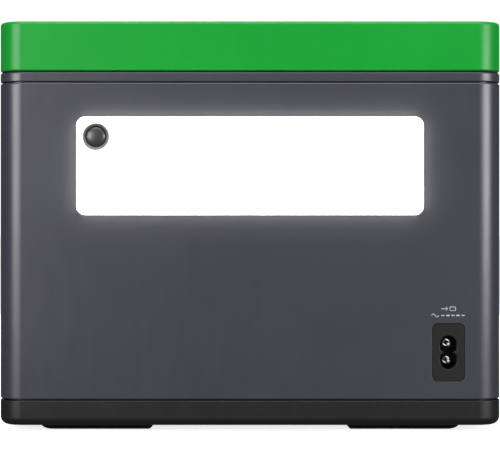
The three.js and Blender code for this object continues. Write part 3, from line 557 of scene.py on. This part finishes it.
def collar():
    """The thin band under the cover, and a gasket in the seam over it, made near-black so that it paints the
    seam's shade.
    """
    tongue, inner = TONGUE
    section = softened([
        (0, COLLAR_BOTTOM, SEAM_EDGE),
        (0, COLLAR_TOP, 0.65),
        (tongue, COLLAR_TOP, 0),
        (tongue, COVER_BOTTOM + 5.3, 0.3),
        (inner, COVER_BOTTOM + 5.3, 0.3),
        (inner, BODY_TOP - 5.3, 0.3),
        (tongue, BODY_TOP - 5.3, 0.3),
        (tongue, COLLAR_BOTTOM, 0),
    ])
    piece("collar_shell", layered(BOX, section, closed=True), GREY, replaces=["collar_band"])
    # A plausible gasket, but near-black rubber so that it paints the shade deep inside the seam.
    low, high = COLLAR_TOP + 0.05, COVER_BOTTOM - 0.05
    seam_shade_seal = layered(BOX, [(-0.9, low), (-0.9, high), (tongue + 0.1, high), (tongue + 0.1, low)], closed=True)
    piece("cover_seam_shade_seal", seam_shade_seal, RUBBER)


def foot_centre(sx, sy):
    return (sx * FOOT_CENTRE[0], sy * FOOT_CENTRE[1])


def screw_centre(sx, sy):
    return (sx * (WIDTH / 2 - CORNER), sy * (DEPTH / 2 - CORNER))


def base():
    """The black tray, with a hole for each screw and a shallow recess for each foot."""
    (tongue, inner), floor = TONGUE, BASE_BOTTOM + WALL
    section = softened([
        (-20, BASE_BOTTOM, 0),
        (0, BASE_BOTTOM, 4),
        (0, BASE_TOP, SEAM_EDGE),
        (tongue, BASE_TOP, 0),
        (tongue, BASE_TOP + 5.2, 0.3),
        (inner, BASE_TOP + 5.2, 0.3),
        (inner, floor, 0.5),
        (-20, floor, 0),
    ], steps=7)
    # The outline can't shrink past its corner radius, so the tray's middle is a plain slab under the rim.
    rim = [(max(u, -CORNER + 0.5), v) for u, v in section]
    tray = layered(BOX, rim)
    cutters = []
    for corner in BASE_CORNERS.values():
        recess = grown(rounded(FOOT_SIZE, FOOT_CORNER, foot_centre(*corner)), 0.3)
        cutters.append(rod(4.1, 0, 6, centre=screw_centre(*corner)))
        cutters.append(layered(recess, [(0, 0), (0, 4)]))
    piece("base_shell", cut(tray, *cutters), BLACK, replaces=["base_tray"])


def top_cover():
    """The green cover, with the pocket that the handle folds into and the two rests that it lies on."""
    section = softened([
        (-CORNER + 0.5, HEIGHT, 0),
        (0, HEIGHT, 1.8),
        (0, COVER_BOTTOM, 0.8),
        (-WALL, COVER_BOTTOM, 0.2),
        (-WALL, HEIGHT - WALL, 1),
        (-CORNER + 0.5, HEIGHT - WALL, 0),
    ], steps=7)
    shell = layered(BOX, section)
    mouth = rounded(POCKET_SIZE, POCKET_CORNER, POCKET_CENTRE, steps=12)
    tub = layered(mouth, [(WALL, HEIGHT - 1), (WALL, POCKET_FLOOR - WALL)])
    hole = softened([
        (1.4, HEIGHT + 5, 0),
        (1.4, HEIGHT, 0),
        (0, HEIGHT - 1.4, 0),
        (0, POCKET_FLOOR, 3),
        (-6, POCKET_FLOOR, 0),
    ])
    rests = [
        plate(rounded((8, 8), 1, (x, BAIL_REACH), steps=4), 193.2, POCKET_FLOOR - 1, PLAN, low_edge=0.5)
        for x in (-79, 79)
    ]
    shell = fused(shell, tub)
    shell = cut(shell, layered(mouth, hole), rod(PIVOT_BORE, -103.5, 103.5, PIVOT_AXIS))
    shell = fused(shell, *rests)
    piece("cover_shell", shell, GREEN, replaces=["top_cover"])


housing()
collar()
base()
top_cover()


# ---------------- feet and screws
def foot(sx, sy):
    """A long rubber foot with a rounded outer end, a bevelled inner end and grooves under it."""
    half, top = FOOT_SIZE[0] / 2, 7
    x, y = foot_centre(sx, sy)
    arc = [math.pi / 2 * i / 10 for i in range(11)]
    bevel = [(-half, 1.7), (-half + 0.4, 1.2), (-half + 1.4, 0.2), (-half + 2, 0)]
    ramp = [(half - 6 + 6 * math.sin(a), 3 * (1 - math.cos(a))) for a in arc]
    profile = [(-half, top), *bevel, *ramp, (half, top)]
    side = face_matrix((sx, 0, 0), (0, 0, 1), (0, 1, 0), (x, y, 0))
    flank = [(-2.6, 11), (-1.2, 10.2), (-0.3, 8.4), (0, 6.9)]
    block = layered(profile, [(u, -v) for u, v in flank] + flank[::-1], side)
    outline = rounded(FOOT_SIZE, FOOT_CORNER, (x, y))
    block = combined("INTERSECT", block, [layered(outline, [(0, -1), (0, 3.7)])])
    grooves = [
        layered(rounded((40, 1.2), 0.59, (x - sx, y + shift), steps=4), [(0, -1), (0, 0.6)])
        for shift in (-5.4, -1.8, 1.8, 5.4)
    ]
    return cut(block, *grooves)


def screw(sx, sy):
    """A cross-head screw whose head lies in a hole of the base."""
    centre = screw_centre(sx, sy)
    head = turned(
        [(0, 4), (2.6, 4), (3.4, 4.5), (3.6, 5.2), (3.6, 6.2), (1.75, 6.2), (1.75, 33), (0, 33)],
        centre=centre,
        segments=32,
    )
    arms = [
        layered(rounded(size, 0.2, centre, steps=2), [(0, 3), (-0.15, 5.6)])
        for size in ((4, 0.9), (0.9, 4))
    ]
    return cut(head, *arms)


for name, corner in BASE_CORNERS.items():
    piece(f"rubber_foot_{name}", foot(*corner), RUBBER, replaces=[f"foot_{name}"])
    piece(f"screw_{name}", screw(*corner), NICKEL, replaces=[f"base_screw_{name}"])


# ---------------- lamp
def cap_profile(radius, proud, crown, body_end=2.2, stem_end=4.2):
    """A domed button: its crown is `proud` out of the face and falls away by `crown` at the rim."""
    arc = [math.pi / 2 * i / 12 for i in range(13)]
    dome = [(radius * math.sin(a), -proud + crown * (1 - math.cos(a))) for a in arc]
    return [*dome, (radius, body_end), (1.5, body_end), (1.5, stem_end), (0, stem_end)]


def lamp():
    """The lens that stands out of the rear face, and the ring and cap of its button."""
    face, back = rounded(LAMP_SIZE, LAMP_CORNER, LAMP_CENTRE), 4.4
    lens = flanged(face, -LAMP_PROUD, back, REAR, inset=3, flange=3.5, flange_edge=0.2)
    lens = cut(lens, rod(6.7, -8, 8, REAR, LAMP_BUTTON))
    piece("lamp_lens", lens, LAMP, replaces=["lamp_diffuser"])

    front = -LAMP_PROUD - 0.5
    ring = [
        (5.2, front + 1.1), (5.3, front + 0.8), (5.95, front + 0.15), (6.15, front), (6.35, front + 0.1),
        (6.45, front + 0.4), (6.45, back), (1.8, back), (1.8, 3.6), (5.2, 3.6),
    ]
    bezel = turned(ring, REAR, LAMP_BUTTON, segments=72)
    piece("lamp_button_ring", bezel, BEZEL_GREY, replaces=["lamp_button_bezel"])
    cap = turned(cap_profile(4.9, 2.9, 1.5), REAR, LAMP_BUTTON, segments=72)
    piece("lamp_button_cap", cap, BUTTON_GREY, body="lamp_button", replaces=["lamp_button"])


lamp()


# ---------------- inlet
def figure_eight(centre):
    """Two round lobes with a notch on each side between them."""
    half, lobe, notch, waist, steps = 4.1, 4.25, 1.3, 2.3, 20
    arc = [math.pi * i / steps for i in range(steps + 1)]
    side = [(half * math.cos(a), lobe + half * math.sin(a)) for a in arc]
    side += [(-half, notch), (-waist, 0), (-half, -notch)]
    points = side + [(-x, -y) for x, y in side]
    return [(centre[0] + x, centre[1] + y) for x, y in points]


def contact_pin(centre):
    """A flat-tipped pin in a stepped collar at the recess's floor."""
    tip, root = 1.6, INLET_DEPTH - 0.3
    return turned([
        (0, tip), (1, tip), (1.04, tip + 0.005), (1.14, tip + 0.1), (1.18, tip + 0.3), (1.18, root - 0.1),
        (1.4, root - 0.1), (1.4, root - 0.6), (1.46, root - 0.65), (1.68, root - 0.65), (1.76, root - 0.58),
        (1.76, root), (1.18, root), (1.18, 20), (0, 20),
    ], REAR, centre, segments=40)


def inlet():
    """The black plate with its figure-8 recess, and the two pins in it."""
    sunk, back = 0.4, INLET_DEPTH + 3.4
    outline = rounded(INLET_SIZE, INLET_CORNER, INLET_CENTRE)
    body = layered(outline, softened([
        (-2, sunk, 0),
        (0, sunk, 0.3),
        (0, 2.8, 0),
        (2.5, 2.8, 0),
        (2.5, 4.8, 0),
        (0, 4.8, 0),
        (0, back, 0.5),
        (-2, back, 0),
    ]), REAR)
    recess = pusher(figure_eight(INLET_CENTRE), -2, INLET_DEPTH, REAR, edge=0.35, surface=sunk, steps=4)
    holes = []
    for name, side in (("upper", 1), ("lower", -1)):
        centre = (INLET_CENTRE[0], INLET_CENTRE[1] + side * PIN_OFFSET)
        holes.append(rod(1.5, 2, 25, REAR, centre))
        piece(f"contact_pin_{name}", contact_pin(centre), POLISHED, replaces=[f"inlet_pin_{name}"])
    piece("inlet_socket", cut(body, recess, *holes), INLET_BLACK, replaces=["inlet_body"])


inlet()


# ---------------- printed marks
def stroke(points, width, place, depth=-0.06, closed=False, thickness=0.08):
    """A thin raised line of ink along a path on a face."""
    path = [Vector(p) for p in points]
    count = len(path)
    rows = []
    for i, here in enumerate(path):
        before = path[i - 1] if closed or i > 0 else here
        after = path[(i + 1) % count] if closed or i < count - 1 else here
        direction = (after - before).normalized()
        side = Vector((direction.y, -direction.x)) * width / 2
        front, back = depth, depth + thickness
        section = ((1, front), (-1, front), (-1, back), (1, back))
        rows.append([(*(here + sign * side), z) for sign, z in section])
    return loft(rows, place, closed)


def wave(centre, length, height, steps=24):
    """One period of a sine wave, the usual sign for alternating current."""
    xs = [i / steps for i in range(steps + 1)]
    return [(centre[0] + (x - 0.5) * length, centre[1] + math.sin(2 * math.pi * x) * height / 2) for x in xs]


def arrow(tip, length, width, place, depth=-0.06):
    """A shaft and a head, as two strokes."""
    x, y = tip
    head = [(x - width * 0.6, y + width / 2), (x, y), (x - width * 0.6, y - width / 2)]
    return [
        stroke([(x - length, y), (x - 0.2, y)], 0.35, place, depth),
        stroke(head, 0.35, place, depth),
    ]


def inlet_marks():
    """Generic signs over the inlet: power in, and alternating current with its rating bars."""
    x, upper, lower = INLET_CENTRE[0], 61.0, 57.7
    marks = arrow((x - 0.4, upper), 3.2, 1.6, REAR)
    marks.append(stroke(rounded((2.8, 1.8), 0.4, (x + 2.1, upper), steps=3), 0.3, REAR, closed=True))
    marks.append(stroke(wave((x - 6.6, lower), 3.6, 1.5), 0.35, REAR))
    for i in range(5):
        left = x - 3.6 + i * 2.5
        marks.append(stroke([(left, lower), (left + 1.6, lower)], 0.5 + 0.2 * (i % 2), REAR))
    piece("inlet_marks", gathered(marks), INK)


inlet_marks()


# ---------------- front fascia
def through(shape, clearance=0.3):
    """A cutter for a hole in the fascia, a little larger than what goes into it."""
    return pusher(grown(shape, clearance), -2, 12, FRONT, edge=0.3, surface=FASCIA_SUNK, steps=4)


def fascia():
    """The panel of the front face with its holes, and the glass of its display."""
    back = 4.6
    outline = rounded(FASCIA_SIZE, FASCIA_CORNER, FASCIA_CENTRE, steps=12)
    panel = flanged(outline, FASCIA_SUNK, back, FRONT, edge=0.4)
    window = rounded(DISPLAY_SIZE, DISPLAY_CORNER, DISPLAY_CENTRE)
    cutters = [through(window)]
    cutters += [through(circle(radius, centre), 0.4) for centre, radius in FRONT_BUTTONS.values()]
    cutters += [through(rounded(USB_A_SIZE, USB_A_CORNER, centre)) for centre in USB_A_PORTS.values()]
    cutters += [through(rounded(OUTLET_SIZE, OUTLET_CORNER, centre)) for centre in OUTLETS.values()]
    cutters.append(through(rounded(USB_C_SIZE, 1.9, USB_C_PORT)))
    cutters.append(through(circle(CAR_SOCKET_RADIUS, CAR_SOCKET)))
    cutters.append(through(circle(DC_JACK_RADIUS, DC_JACK)))
    piece("control_fascia", cut(panel, *cutters), FASCIA_BLACK, replaces=["front_fascia"])

    glass = plate(window, FASCIA_SUNK, back, FRONT, low_edge=0.3)
    piece("display_glass", glass, GLASS, replaces=["display_window"])


def display_marks():
    """A lit battery gauge: an outlined cell with charge bars, and a small sign for each output."""
    x, y = DISPLAY_CENTRE
    marks = []

    def draw(points, width, closed=False):
        marks.append(stroke(points, width, FRONT, FASCIA_SUNK - 0.05, closed, thickness=0.04))

    draw(rounded((40, 16), 3, (x, y + 5)), 0.8, closed=True)
    draw([(x + 21.6, y + 8), (x + 21.6, y + 2)], 1.6)
    for i in range(8):
        left = x - 16.4 + i * 4.7
        draw([(left, y + 0.5), (left, y + 9.5)], 3)
    draw(wave((x - 22, y - 12), 8, 4), 0.7)
    draw([(x - 4, y - 10.8), (x + 4, y - 10.8)], 0.7)
    for i in range(3):
        left = x - 4 + i * 3.1
        draw([(left, y - 13.2), (left + 1.8, y - 13.2)], 0.7)
    draw(circle(2, (x + 22, y - 12), 24), 0.7, closed=True)
    piece("display_signs", gathered(marks), SCREEN_GLOW)


def fascia_marks():
    """Printed frames and signs that say what each group of outlets is."""
    depth = FASCIA_SUNK - 0.06
    marks = []

    def draw(points, width=0.5, closed=False):
        marks.append(stroke(points, width, FRONT, depth, closed))

    draw(rounded((50, 108), 6, (-74, 98.5)), 0.4, closed=True)
    draw(rounded((60, 108), 6, (69, 98.5)), 0.4, closed=True)
    draw(wave((-60, 62), 6, 3))
    # The sign for direct current: a line over two dashes.
    draw([(68, 119.2), (73, 119.2)])
    draw([(68, 116.8), (69.4, 116.8)])
    draw([(71.6, 116.8), (73, 116.8)])
    # The sign for power: a bar in the gap of a ring.
    x, y, radius, gap = 0, 101, 2.2, math.radians(35)
    ring = [math.pi / 2 + gap + (2 * math.pi - 2 * gap) * i / 24 for i in range(25)]
    draw([(x + radius * math.cos(a), y + radius * math.sin(a)) for a in ring])
    draw([(x, y + 0.4), (x, y + 2.8)])
    marks += arrow((DC_JACK[0] - 10, DC_JACK[1]), 5, 2.4, FRONT, depth)
    piece("fascia_marks", gathered(marks), INK)


def front_buttons():
    """The three domed push buttons of the front face."""
    for name, (centre, radius) in FRONT_BUTTONS.items():
        cap = turned(cap_profile(radius, 0.2, 0.9, body_end=3.4, stem_end=9), FRONT, centre, segments=64)
        button = f"{name}_button"
        piece(f"{button}_cap", cap, BUTTON_GREY, body=button, replaces=[button])


def outlets():
    """The two mains outlets: two slots of unequal height over an earth hole."""
    face = 0.6
    for name, (x, y) in OUTLETS.items():
        front = layered(rounded(OUTLET_SIZE, OUTLET_CORNER, (x, y)), softened([
            (-6, face, 0),
            (0, face, 0.5),
            (0, 8, 0),
            (-2, 8, 0),
            (-2, 24, 0.5),
            (-6, 24, 0),
        ]), FRONT)
        slots = []
        for side, tall in ((-1, 8.2), (1, 6.6)):
            slot = rounded((2.2, tall), 0.3, (x + side * 6.35, y + 4), steps=3)
            slots.append(pusher(slot, face - 1, face + 16, FRONT, edge=0.2, surface=face))
        earth = [(0, 0), (2.75, 0), (2.75, face), (2.5, face + 0.25), (2.5, 16), (0, 16)]
        front = cut(front, *slots, turned(earth, FRONT, (x, y - 7.9)))
        piece(f"mains_socket_{name}", front, SOCKET_BLACK, replaces=[f"ac_outlet_{name}"])


def usb_ports():
    """Two USB-A ports with their tongues and contacts, and a USB-C port with its tongue."""
    back, mouth = 15, [(0, 0), (0, 13.5)]
    for name, (x, y) in USB_A_PORTS.items():
        shell = cut(
            plate(rounded(USB_A_SIZE, USB_A_CORNER, (x, y), steps=5), FASCIA_SUNK, back, FRONT, low_edge=0.2),
            layered(rounded((12.6, 5.2), 0.4, (x, y), steps=4), mouth, FRONT),
        )
        piece(f"usb_a_shell_{name}", shell, NICKEL, replaces=[f"usb_a_port_{name}"])
        tongue = box((x - 5.5, y + 0.3, 2.5), (x + 5.5, y + 2.1, 13.4), FRONT)
        piece(f"usb_a_tongue_{name}", tongue, PORT_BLUE)
        contacts = [
            box((x + shift - 0.6, y + 0.18, 3), (x + shift + 0.6, y + 0.3, 12), FRONT)
            for shift in (-3.5, -1, 1, 3.5)
        ]
        piece(f"usb_a_contacts_{name}", gathered(contacts), NICKEL)
    x, y = USB_C_PORT
    shell = cut(
        plate(rounded(USB_C_SIZE, 1.95, (x, y)), FASCIA_SUNK, back, FRONT, low_edge=0.15),
        layered(rounded((8.6, 2.9), 1.42, (x, y)), mouth, FRONT),
    )
    piece("usb_c_shell", shell, NICKEL, replaces=["usb_c_port"])
    tongue = plate(rounded((6.6, 0.7), 0.3, (x, y), steps=3), 2.5, 13.4, FRONT)
    piece("usb_c_tongue", tongue, SOCKET_BLACK)


def car_socket():
    """A round 12 V socket with two ears over it for its cap's hinge."""
    x, y = CAR_SOCKET
    body = turned([
        (0, 27), (10.6, 27), (10.6, 0.4), (10.9, 0.1), (11.2, 0), (15.1, 0), (15.4, 0.2), (15.5, 0.7),
        (CAR_SOCKET_RADIUS, 0.7), (CAR_SOCKET_RADIUS, 30), (0, 30),
    ], FRONT, CAR_SOCKET, segments=72)
    ear = [(0.7, 11.5), (0.7, 22.6), (-0.6, 22.6), (-1.4, 21.8), (-1.4, 15.6), (0, 15), (0, 11.5)]
    ear = [(depth, y + height) for depth, height in ear]
    lugs = [
        layered(ear, [(0, middle - 1.5), (0, middle + 1.5)], FRONT_EDGE_ON)
        for middle in (x - 7.5, x + 7.5)
    ]
    body = fused(body, *lugs)
    piece("car_socket_body", body, SOCKET_BLACK, replaces=["car_socket"])
    liner = turned([(10.2, 6), (10.55, 6), (10.55, 26.9), (10.2, 26.9)], FRONT, CAR_SOCKET, segments=72)
    contact = turned([(0, 23.5), (1.8, 23.6), (2.6, 24.4), (2.6, 26.9), (0, 26.9)], FRONT, CAR_SOCKET)
    piece("car_socket_liner", gathered([liner, contact]), NICKEL)


def socket_cap():
    """The socket's rubber cap: a disc with a hollow plug behind it, and a strap up to its hinge."""
    x, y = CAR_SOCKET
    disc = turned([
        (0, -1.9), (9, -1.9), (9.6, -2.1), (12.6, -2.1), (13.4, -3), (14.3, -3), (15, -2.3),
        (15, -0.8), (14.6, -0.4), (10, -0.4), (10, 3.5), (9.6, 4), (9, 4), (8.6, 3.6), (8.6, -0.4), (0, -0.4),
    ], FRONT, CAR_SOCKET, segments=72)
    strap = plate(rounded((11.2, 10.6), 0.8, (x, y + 15.3), steps=4), -1.4, -0.4, FRONT, low_edge=0.4)
    axle = (-0.3, y + 20.6)
    knuckle = rod(1, x - 5.6, x + 5.6, FRONT_EDGE_ON, axle)
    trunnion = rod(0.6, x - 8, x + 8, FRONT_EDGE_ON, axle)
    cap = fused(disc, strap, knuckle, trunnion)
    piece("socket_dust_cap", cap, RUBBER, body="socket_cap", replaces=["car_socket_cap"])


def dc_jack():
    """A barrel jack with its centre pin and its liner."""
    shell = turned([
        (0, 14), (4, 14), (4, 0.6), (4.3, 0.2), (6.4, 0.2), (6.8, 0.7), (DC_JACK_RADIUS, 0.7),
        (DC_JACK_RADIUS, 17), (0, 17),
    ], FRONT, DC_JACK, segments=56)
    piece("dc_jack_body", shell, SOCKET_BLACK, replaces=["dc_input_jack"])
    pin = turned([(0, 3), (0.5, 3.1), (0.7, 3.4), (0.7, 14), (0, 14)], FRONT, DC_JACK)
    liner = turned([(3.7, 2), (3.98, 2), (3.98, 13.9), (3.7, 13.9)], FRONT, DC_JACK)
    piece("dc_jack_contacts", gathered([pin, liner]), NICKEL)


fascia()
display_marks()
fascia_marks()
front_buttons()
outlets()
usb_ports()
car_socket()
socket_cap()
dc_jack()


# ---------------- side vents and fan
def grille(face):
    """A panel with round-ended slots, each with a chamfered edge."""
    panel = flanged(rounded(VENT_SIZE, VENT_CORNER, VENT_CENTRE), 0.3, 4.4, face)
    slots = []
    for i in range(VENT_SLOTS):
        y = VENT_CENTRE[1] + (i - (VENT_SLOTS - 1) / 2) * VENT_PITCH
        outline = rounded((VENT_SIZE[0] - 14, VENT_SLOT), VENT_SLOT / 2 - 0.02, (VENT_CENTRE[0], y), steps=6)
        slots.append(layered(outline, [(0.6, -1), (0.6, 0.3), (0.25, 0.45), (0, 0.9), (0, 8)], face))
    return cut(panel, *slots)


def dust_filter(face):
    """A foam pad behind a grille."""
    return plate(rounded(VENT_SIZE, VENT_CORNER, VENT_CENTRE), 4.7, 6.9, face, low_edge=0.5, high_edge=0.5)


piece("grille_right", grille(RIGHT), GREY, replaces=["vent_grille_right"])
piece("grille_left", grille(LEFT), GREY, replaces=["vent_grille_left"])
piece("dust_filter_left", dust_filter(LEFT), FOAM)


def fan_blade(start, root, tip, middle, steps=8, thick=0.5):
    """A blade from radius root to tip, swept on from its start angle, with a pitch that flattens outwards."""
    section = ((-1, -1), (0, -1.7), (1, -1), (1, 1), (0, 0.6), (-1, 1))
    rings = []
    for i in range(steps + 1):
        share = i / steps
        radius = root + (tip - root) * share
        pitch = math.radians(52 - 20 * share)
        half_chord = (11 + 2.5 * share) / 2
        ring = []
        for along, across in section:
            sweep = along * half_chord * math.cos(pitch) - across * thick * math.sin(pitch)
            deep = along * half_chord * math.sin(pitch) * 0.62 + across * thick * math.cos(pitch)
            angle = start + 0.35 * share + sweep / radius
            x = VENT_CENTRE[0] + radius * math.cos(angle)
            y = VENT_CENTRE[1] + radius * math.sin(angle)
            ring.append((x, y, middle + deep))
        rings.append(ring)
    return loft(rings, RIGHT)


def fan(blades=7):
    """The rotor behind the right grille: a round-edged hub and its blades."""
    hub, tip, low, high = 12, 26.6, 7.3, 18.4
    solids = [turned([
        (0, low), (hub - 2.5, low), (hub - 0.8, low + 0.5), (hub, low + 2), (hub, high), (0, high),
    ], RIGHT, VENT_CENTRE)]
    for i in range(blades):
        solids.append(fan_blade(2 * math.pi * i / blades, hub - 0.6, tip, (low + high) / 2))
    return gathered(solids)


piece("fan_blades", fan(), BLACK, body="fan_rotor", replaces=["fan_rotor"])


# ---------------- handle
def bail_path():
    """The middle line of the bail in plan, from one pivot round to the other."""
    bend, steps = 12, 10
    left = [(-BAIL_HALF, 0)]
    for i in range(steps + 1):
        a = math.pi - math.pi / 2 * i / steps
        left.append((-BAIL_HALF + bend + bend * math.cos(a), BAIL_REACH - bend + bend * math.sin(a)))
    return left + [(-x, y) for x, y in reversed(left)]


def handle():
    """The flat bail with an eye at each end, and the two pins that it turns on."""
    path = [Vector(p) for p in bail_path()]
    rings = []
    for i, here in enumerate(path):
        direction = (path[min(i + 1, len(path) - 1)] - path[max(i - 1, 0)]).normalized()
        side = Vector((direction.y, -direction.x))
        reach = 4 + 1.5 * (1 - abs(direction.y))
        section = rounded((2 * reach, 8), 2, steps=5)
        rings.append([(*(here + side * u), PIVOT_Z + v) for u, v in section])
    bar = loft(rings)
    eye = [(0, 0), (4.6, 0), (5, 0.4), (5, 7.6), (4.6, 8), (0, 8)]
    eyes = [turned([(radius, low + out) for radius, out in eye], PIVOT_AXIS) for low in (-97, 89)]
    bar = cut(fused(bar, *eyes), rod(PIVOT_BORE, -99, 99, PIVOT_AXIS))
    piece("handle_bow", bar, BLACK, body="handle", replaces=["handle_bail"])
    profile = [
        (0, 88.7), (1.7, 88.7), (2, 89), (2, 102.8), (3.5, 102.8), (3.5, 104.4), (3.1, 104.8), (0, 104.8),
    ]
    for name, sign in (("right", 1), ("left", -1)):
        pin = turned([(radius, sign * out) for radius, out in profile], PIVOT_AXIS)
        piece(f"pivot_pin_{name}", pin, NICKEL, replaces=[f"handle_pin_{name}"])


def grip():
    """A rubber sleeve with finger ribs round it."""
    half, plain, pitch, steps, edge = 60, 8, 4, 6, 0.8
    bar_axis = crosswise(BAIL_REACH, PIVOT_Z)
    profile = [(-edge, -half), (0, -half + edge)]
    ribs = int(2 * (half - plain) / pitch)
    for i in range(ribs * steps + 1):
        phase = 2 * math.pi * i / steps
        profile.append((-0.35 * (1 - math.cos(phase)), -half + plain + i * pitch / steps))
    profile += [(0, half - edge), (-edge, half)]
    sleeve = layered(rounded((15.6, 11.6), 5), profile, bar_axis)
    hole = layered(rounded((11.6, 8.6), 0.6), [(0, -2 * half), (0, 2 * half)], bar_axis)
    sleeve = cut(sleeve, hole)
    piece("handle_sleeve", sleeve, GRIP_RUBBER, body="handle", replaces=["handle_grip"])


handle()
grip()

# ---------------- CAD pieces that stay
STAYING = {
    "lamp_reflector": PORT_WHITE,
    "lamp_board": PORT_WHITE,
    "lamp_switch": SOCKET_BLACK,
    "display_module": PORT_WHITE,
    "control_board": BOARD,
    "port_board": BOARD,
    "fan_frame": BLACK,
    "battery_tray": BLACK,
    "battery_cover": BLACK,
    "bms_board": BOARD,
    "inverter_board": BOARD,
    "transformer": COPPER,
    "heat_sink": ALUMINIUM,
    "battery_lead_positive": RED_LEAD,
    "battery_lead_negative": BLACK_LEAD,
}
STAYING.update({f"cell_group_{i}": WRAP for i in range(1, 8)})
for node_name, look in STAYING.items():
    node = frame["nodes"][node_name]
    for material_slot in node.material_slots:
        material_slot.material = look


# ---------------- stage, lights and camera
def studio_floor():
    """A light table. Its own glow keeps the shadows on it pale, and it throws no light on the object."""
    bpy.ops.mesh.primitive_plane_add(size=30)
    floor = bpy.context.object
    floor.name = "studio_floor"
    look = Look("studio floor", Roughness=0.7, Emission_Color=(1, 1, 1, 1), Emission_Strength=0.8)
    base = look.mixed(look.ranged(look.noise(400), 0, 1), (0.83, 0.83, 0.83), (0.86, 0.86, 0.86))
    floor.data.materials.append(look.set(Base_Color=base))
    floor.visible_glossy = False
    floor.visible_diffuse = False


def area_light(name, position, target, size, radiance):
    """A rectangular softbox of a given radiance, aimed at a point. Sizes are in metres."""
    data = bpy.data.lights.new(name, "AREA")
    data.shape = "RECTANGLE"
    data.size, data.size_y = size
    data.energy = radiance * math.pi * size[0] * size[1]
    light = bpy.data.objects.new(name, data)
    light.location = position
    light.rotation_euler = (Vector(target) - Vector(position)).to_track_quat("-Z", "Y").to_euler()
    light.visible_camera = False
    bpy.context.scene.collection.objects.link(light)
    return light


def side_light(name, azimuth, radiance, low=0.05, high=0.6, width=0.66, distance=1.1):
    """An upright softbox, turned to the middle of the box. Azimuth 0 is the camera's side."""
    azimuth, height = math.radians(azimuth), (low + high) / 2
    position = (distance * math.sin(azimuth), -distance * math.cos(azimuth), height)
    return area_light(name, position, (0, 0, height), (width, high - low), radiance)


def studio_lights():
    """Softboxes round the box and over it, and a small light for the inlet's pins."""
    side_light("left softbox", azimuth=-37, radiance=7.2, high=0.5, width=0.6)
    side_light("right softbox", azimuth=48.3, radiance=10.4, low=0.075, high=0.38, width=0.59)
    area_light("top softbox", (0, -0.35, 0.9), target=(0, 0, 0.1), size=(0.9, 0.5), radiance=4.4)
    inlet = (0.098, -0.09, 0.039)
    small = area_light("inlet light", (0.138, -0.45, 0.016), target=inlet, size=(0.034, 0.03), radiance=1.8)
    small.visible_diffuse = False
    side_light("far softbox", azimuth=180, radiance=7, high=0.75, width=0.5)
    for name, azimuth in (("far left fill", -138), ("far right fill", 138)):
        side_light(name, azimuth, radiance=4).visible_glossy = False


def lamp_glow(height=3.6, width=2, radiance=9.5, color=(1, 0.98, 0.8)):
    """The light that the lens sheds sideways onto the housing: a thin warm strip along each of its edges.

    The strips' height over the face and their width are in millimetres.
    """
    across, up = (side - LAMP_CORNER for side in LAMP_SIZE)
    for sx, sy in ((1, 0), (-1, 0), (0, 1), (0, -1)):
        x = LAMP_CENTRE[0] + sx * LAMP_SIZE[0] / 2
        y = LAMP_CENTRE[1] + sy * LAMP_SIZE[1] / 2
        edge = Vector((x, y, -height))
        start, target = REAR @ edge * MM, REAR @ (edge + Vector((sx, sy, 1))) * MM
        size = (width * MM, up * MM) if sx else (across * MM, width * MM)
        strip = area_light("lamp glow", start, target, size, radiance)
        strip.data.color = color
        strip.visible_glossy = False


def world(ambient=0.09, backdrop=1.1):
    """White all round: a low level for what lights the object, and a bright one for the camera's own view."""
    scene_world = bpy.data.worlds.new("studio")
    scene_world.use_nodes = True
    bpy.context.scene.world = scene_world
    tree = scene_world.node_tree
    background = tree.nodes["Background"]
    background.inputs["Color"].default_value = (1, 1, 1, 1)
    path = tree.nodes.new("ShaderNodeLightPath")
    level = tree.nodes.new("ShaderNodeMapRange")
    level.inputs["To Min"].default_value = ambient
    level.inputs["To Max"].default_value = backdrop
    tree.links.new(path.outputs["Is Camera Ray"], level.inputs["Value"])
    tree.links.new(level.outputs["Result"], background.inputs["Strength"])


def camera(distance=0.995, height=0.10247, lens=131.6):
    """Level with the middle of the rear face and square to it, as far back as the perspective asks."""
    data = bpy.data.cameras.new("camera")
    data.sensor_width = 36
    data.lens = lens
    data.clip_start = 0.01
    view = bpy.data.objects.new("camera", data)
    view.location = (0, -distance, height)
    view.rotation_euler = (math.radians(90), 0, 0)
    bpy.context.scene.collection.objects.link(view)
    bpy.context.scene.camera = view


studio_floor()
studio_lights()
lamp_glow()
world()
camera()
bpy.context.scene.view_settings.view_transform = "Standard"
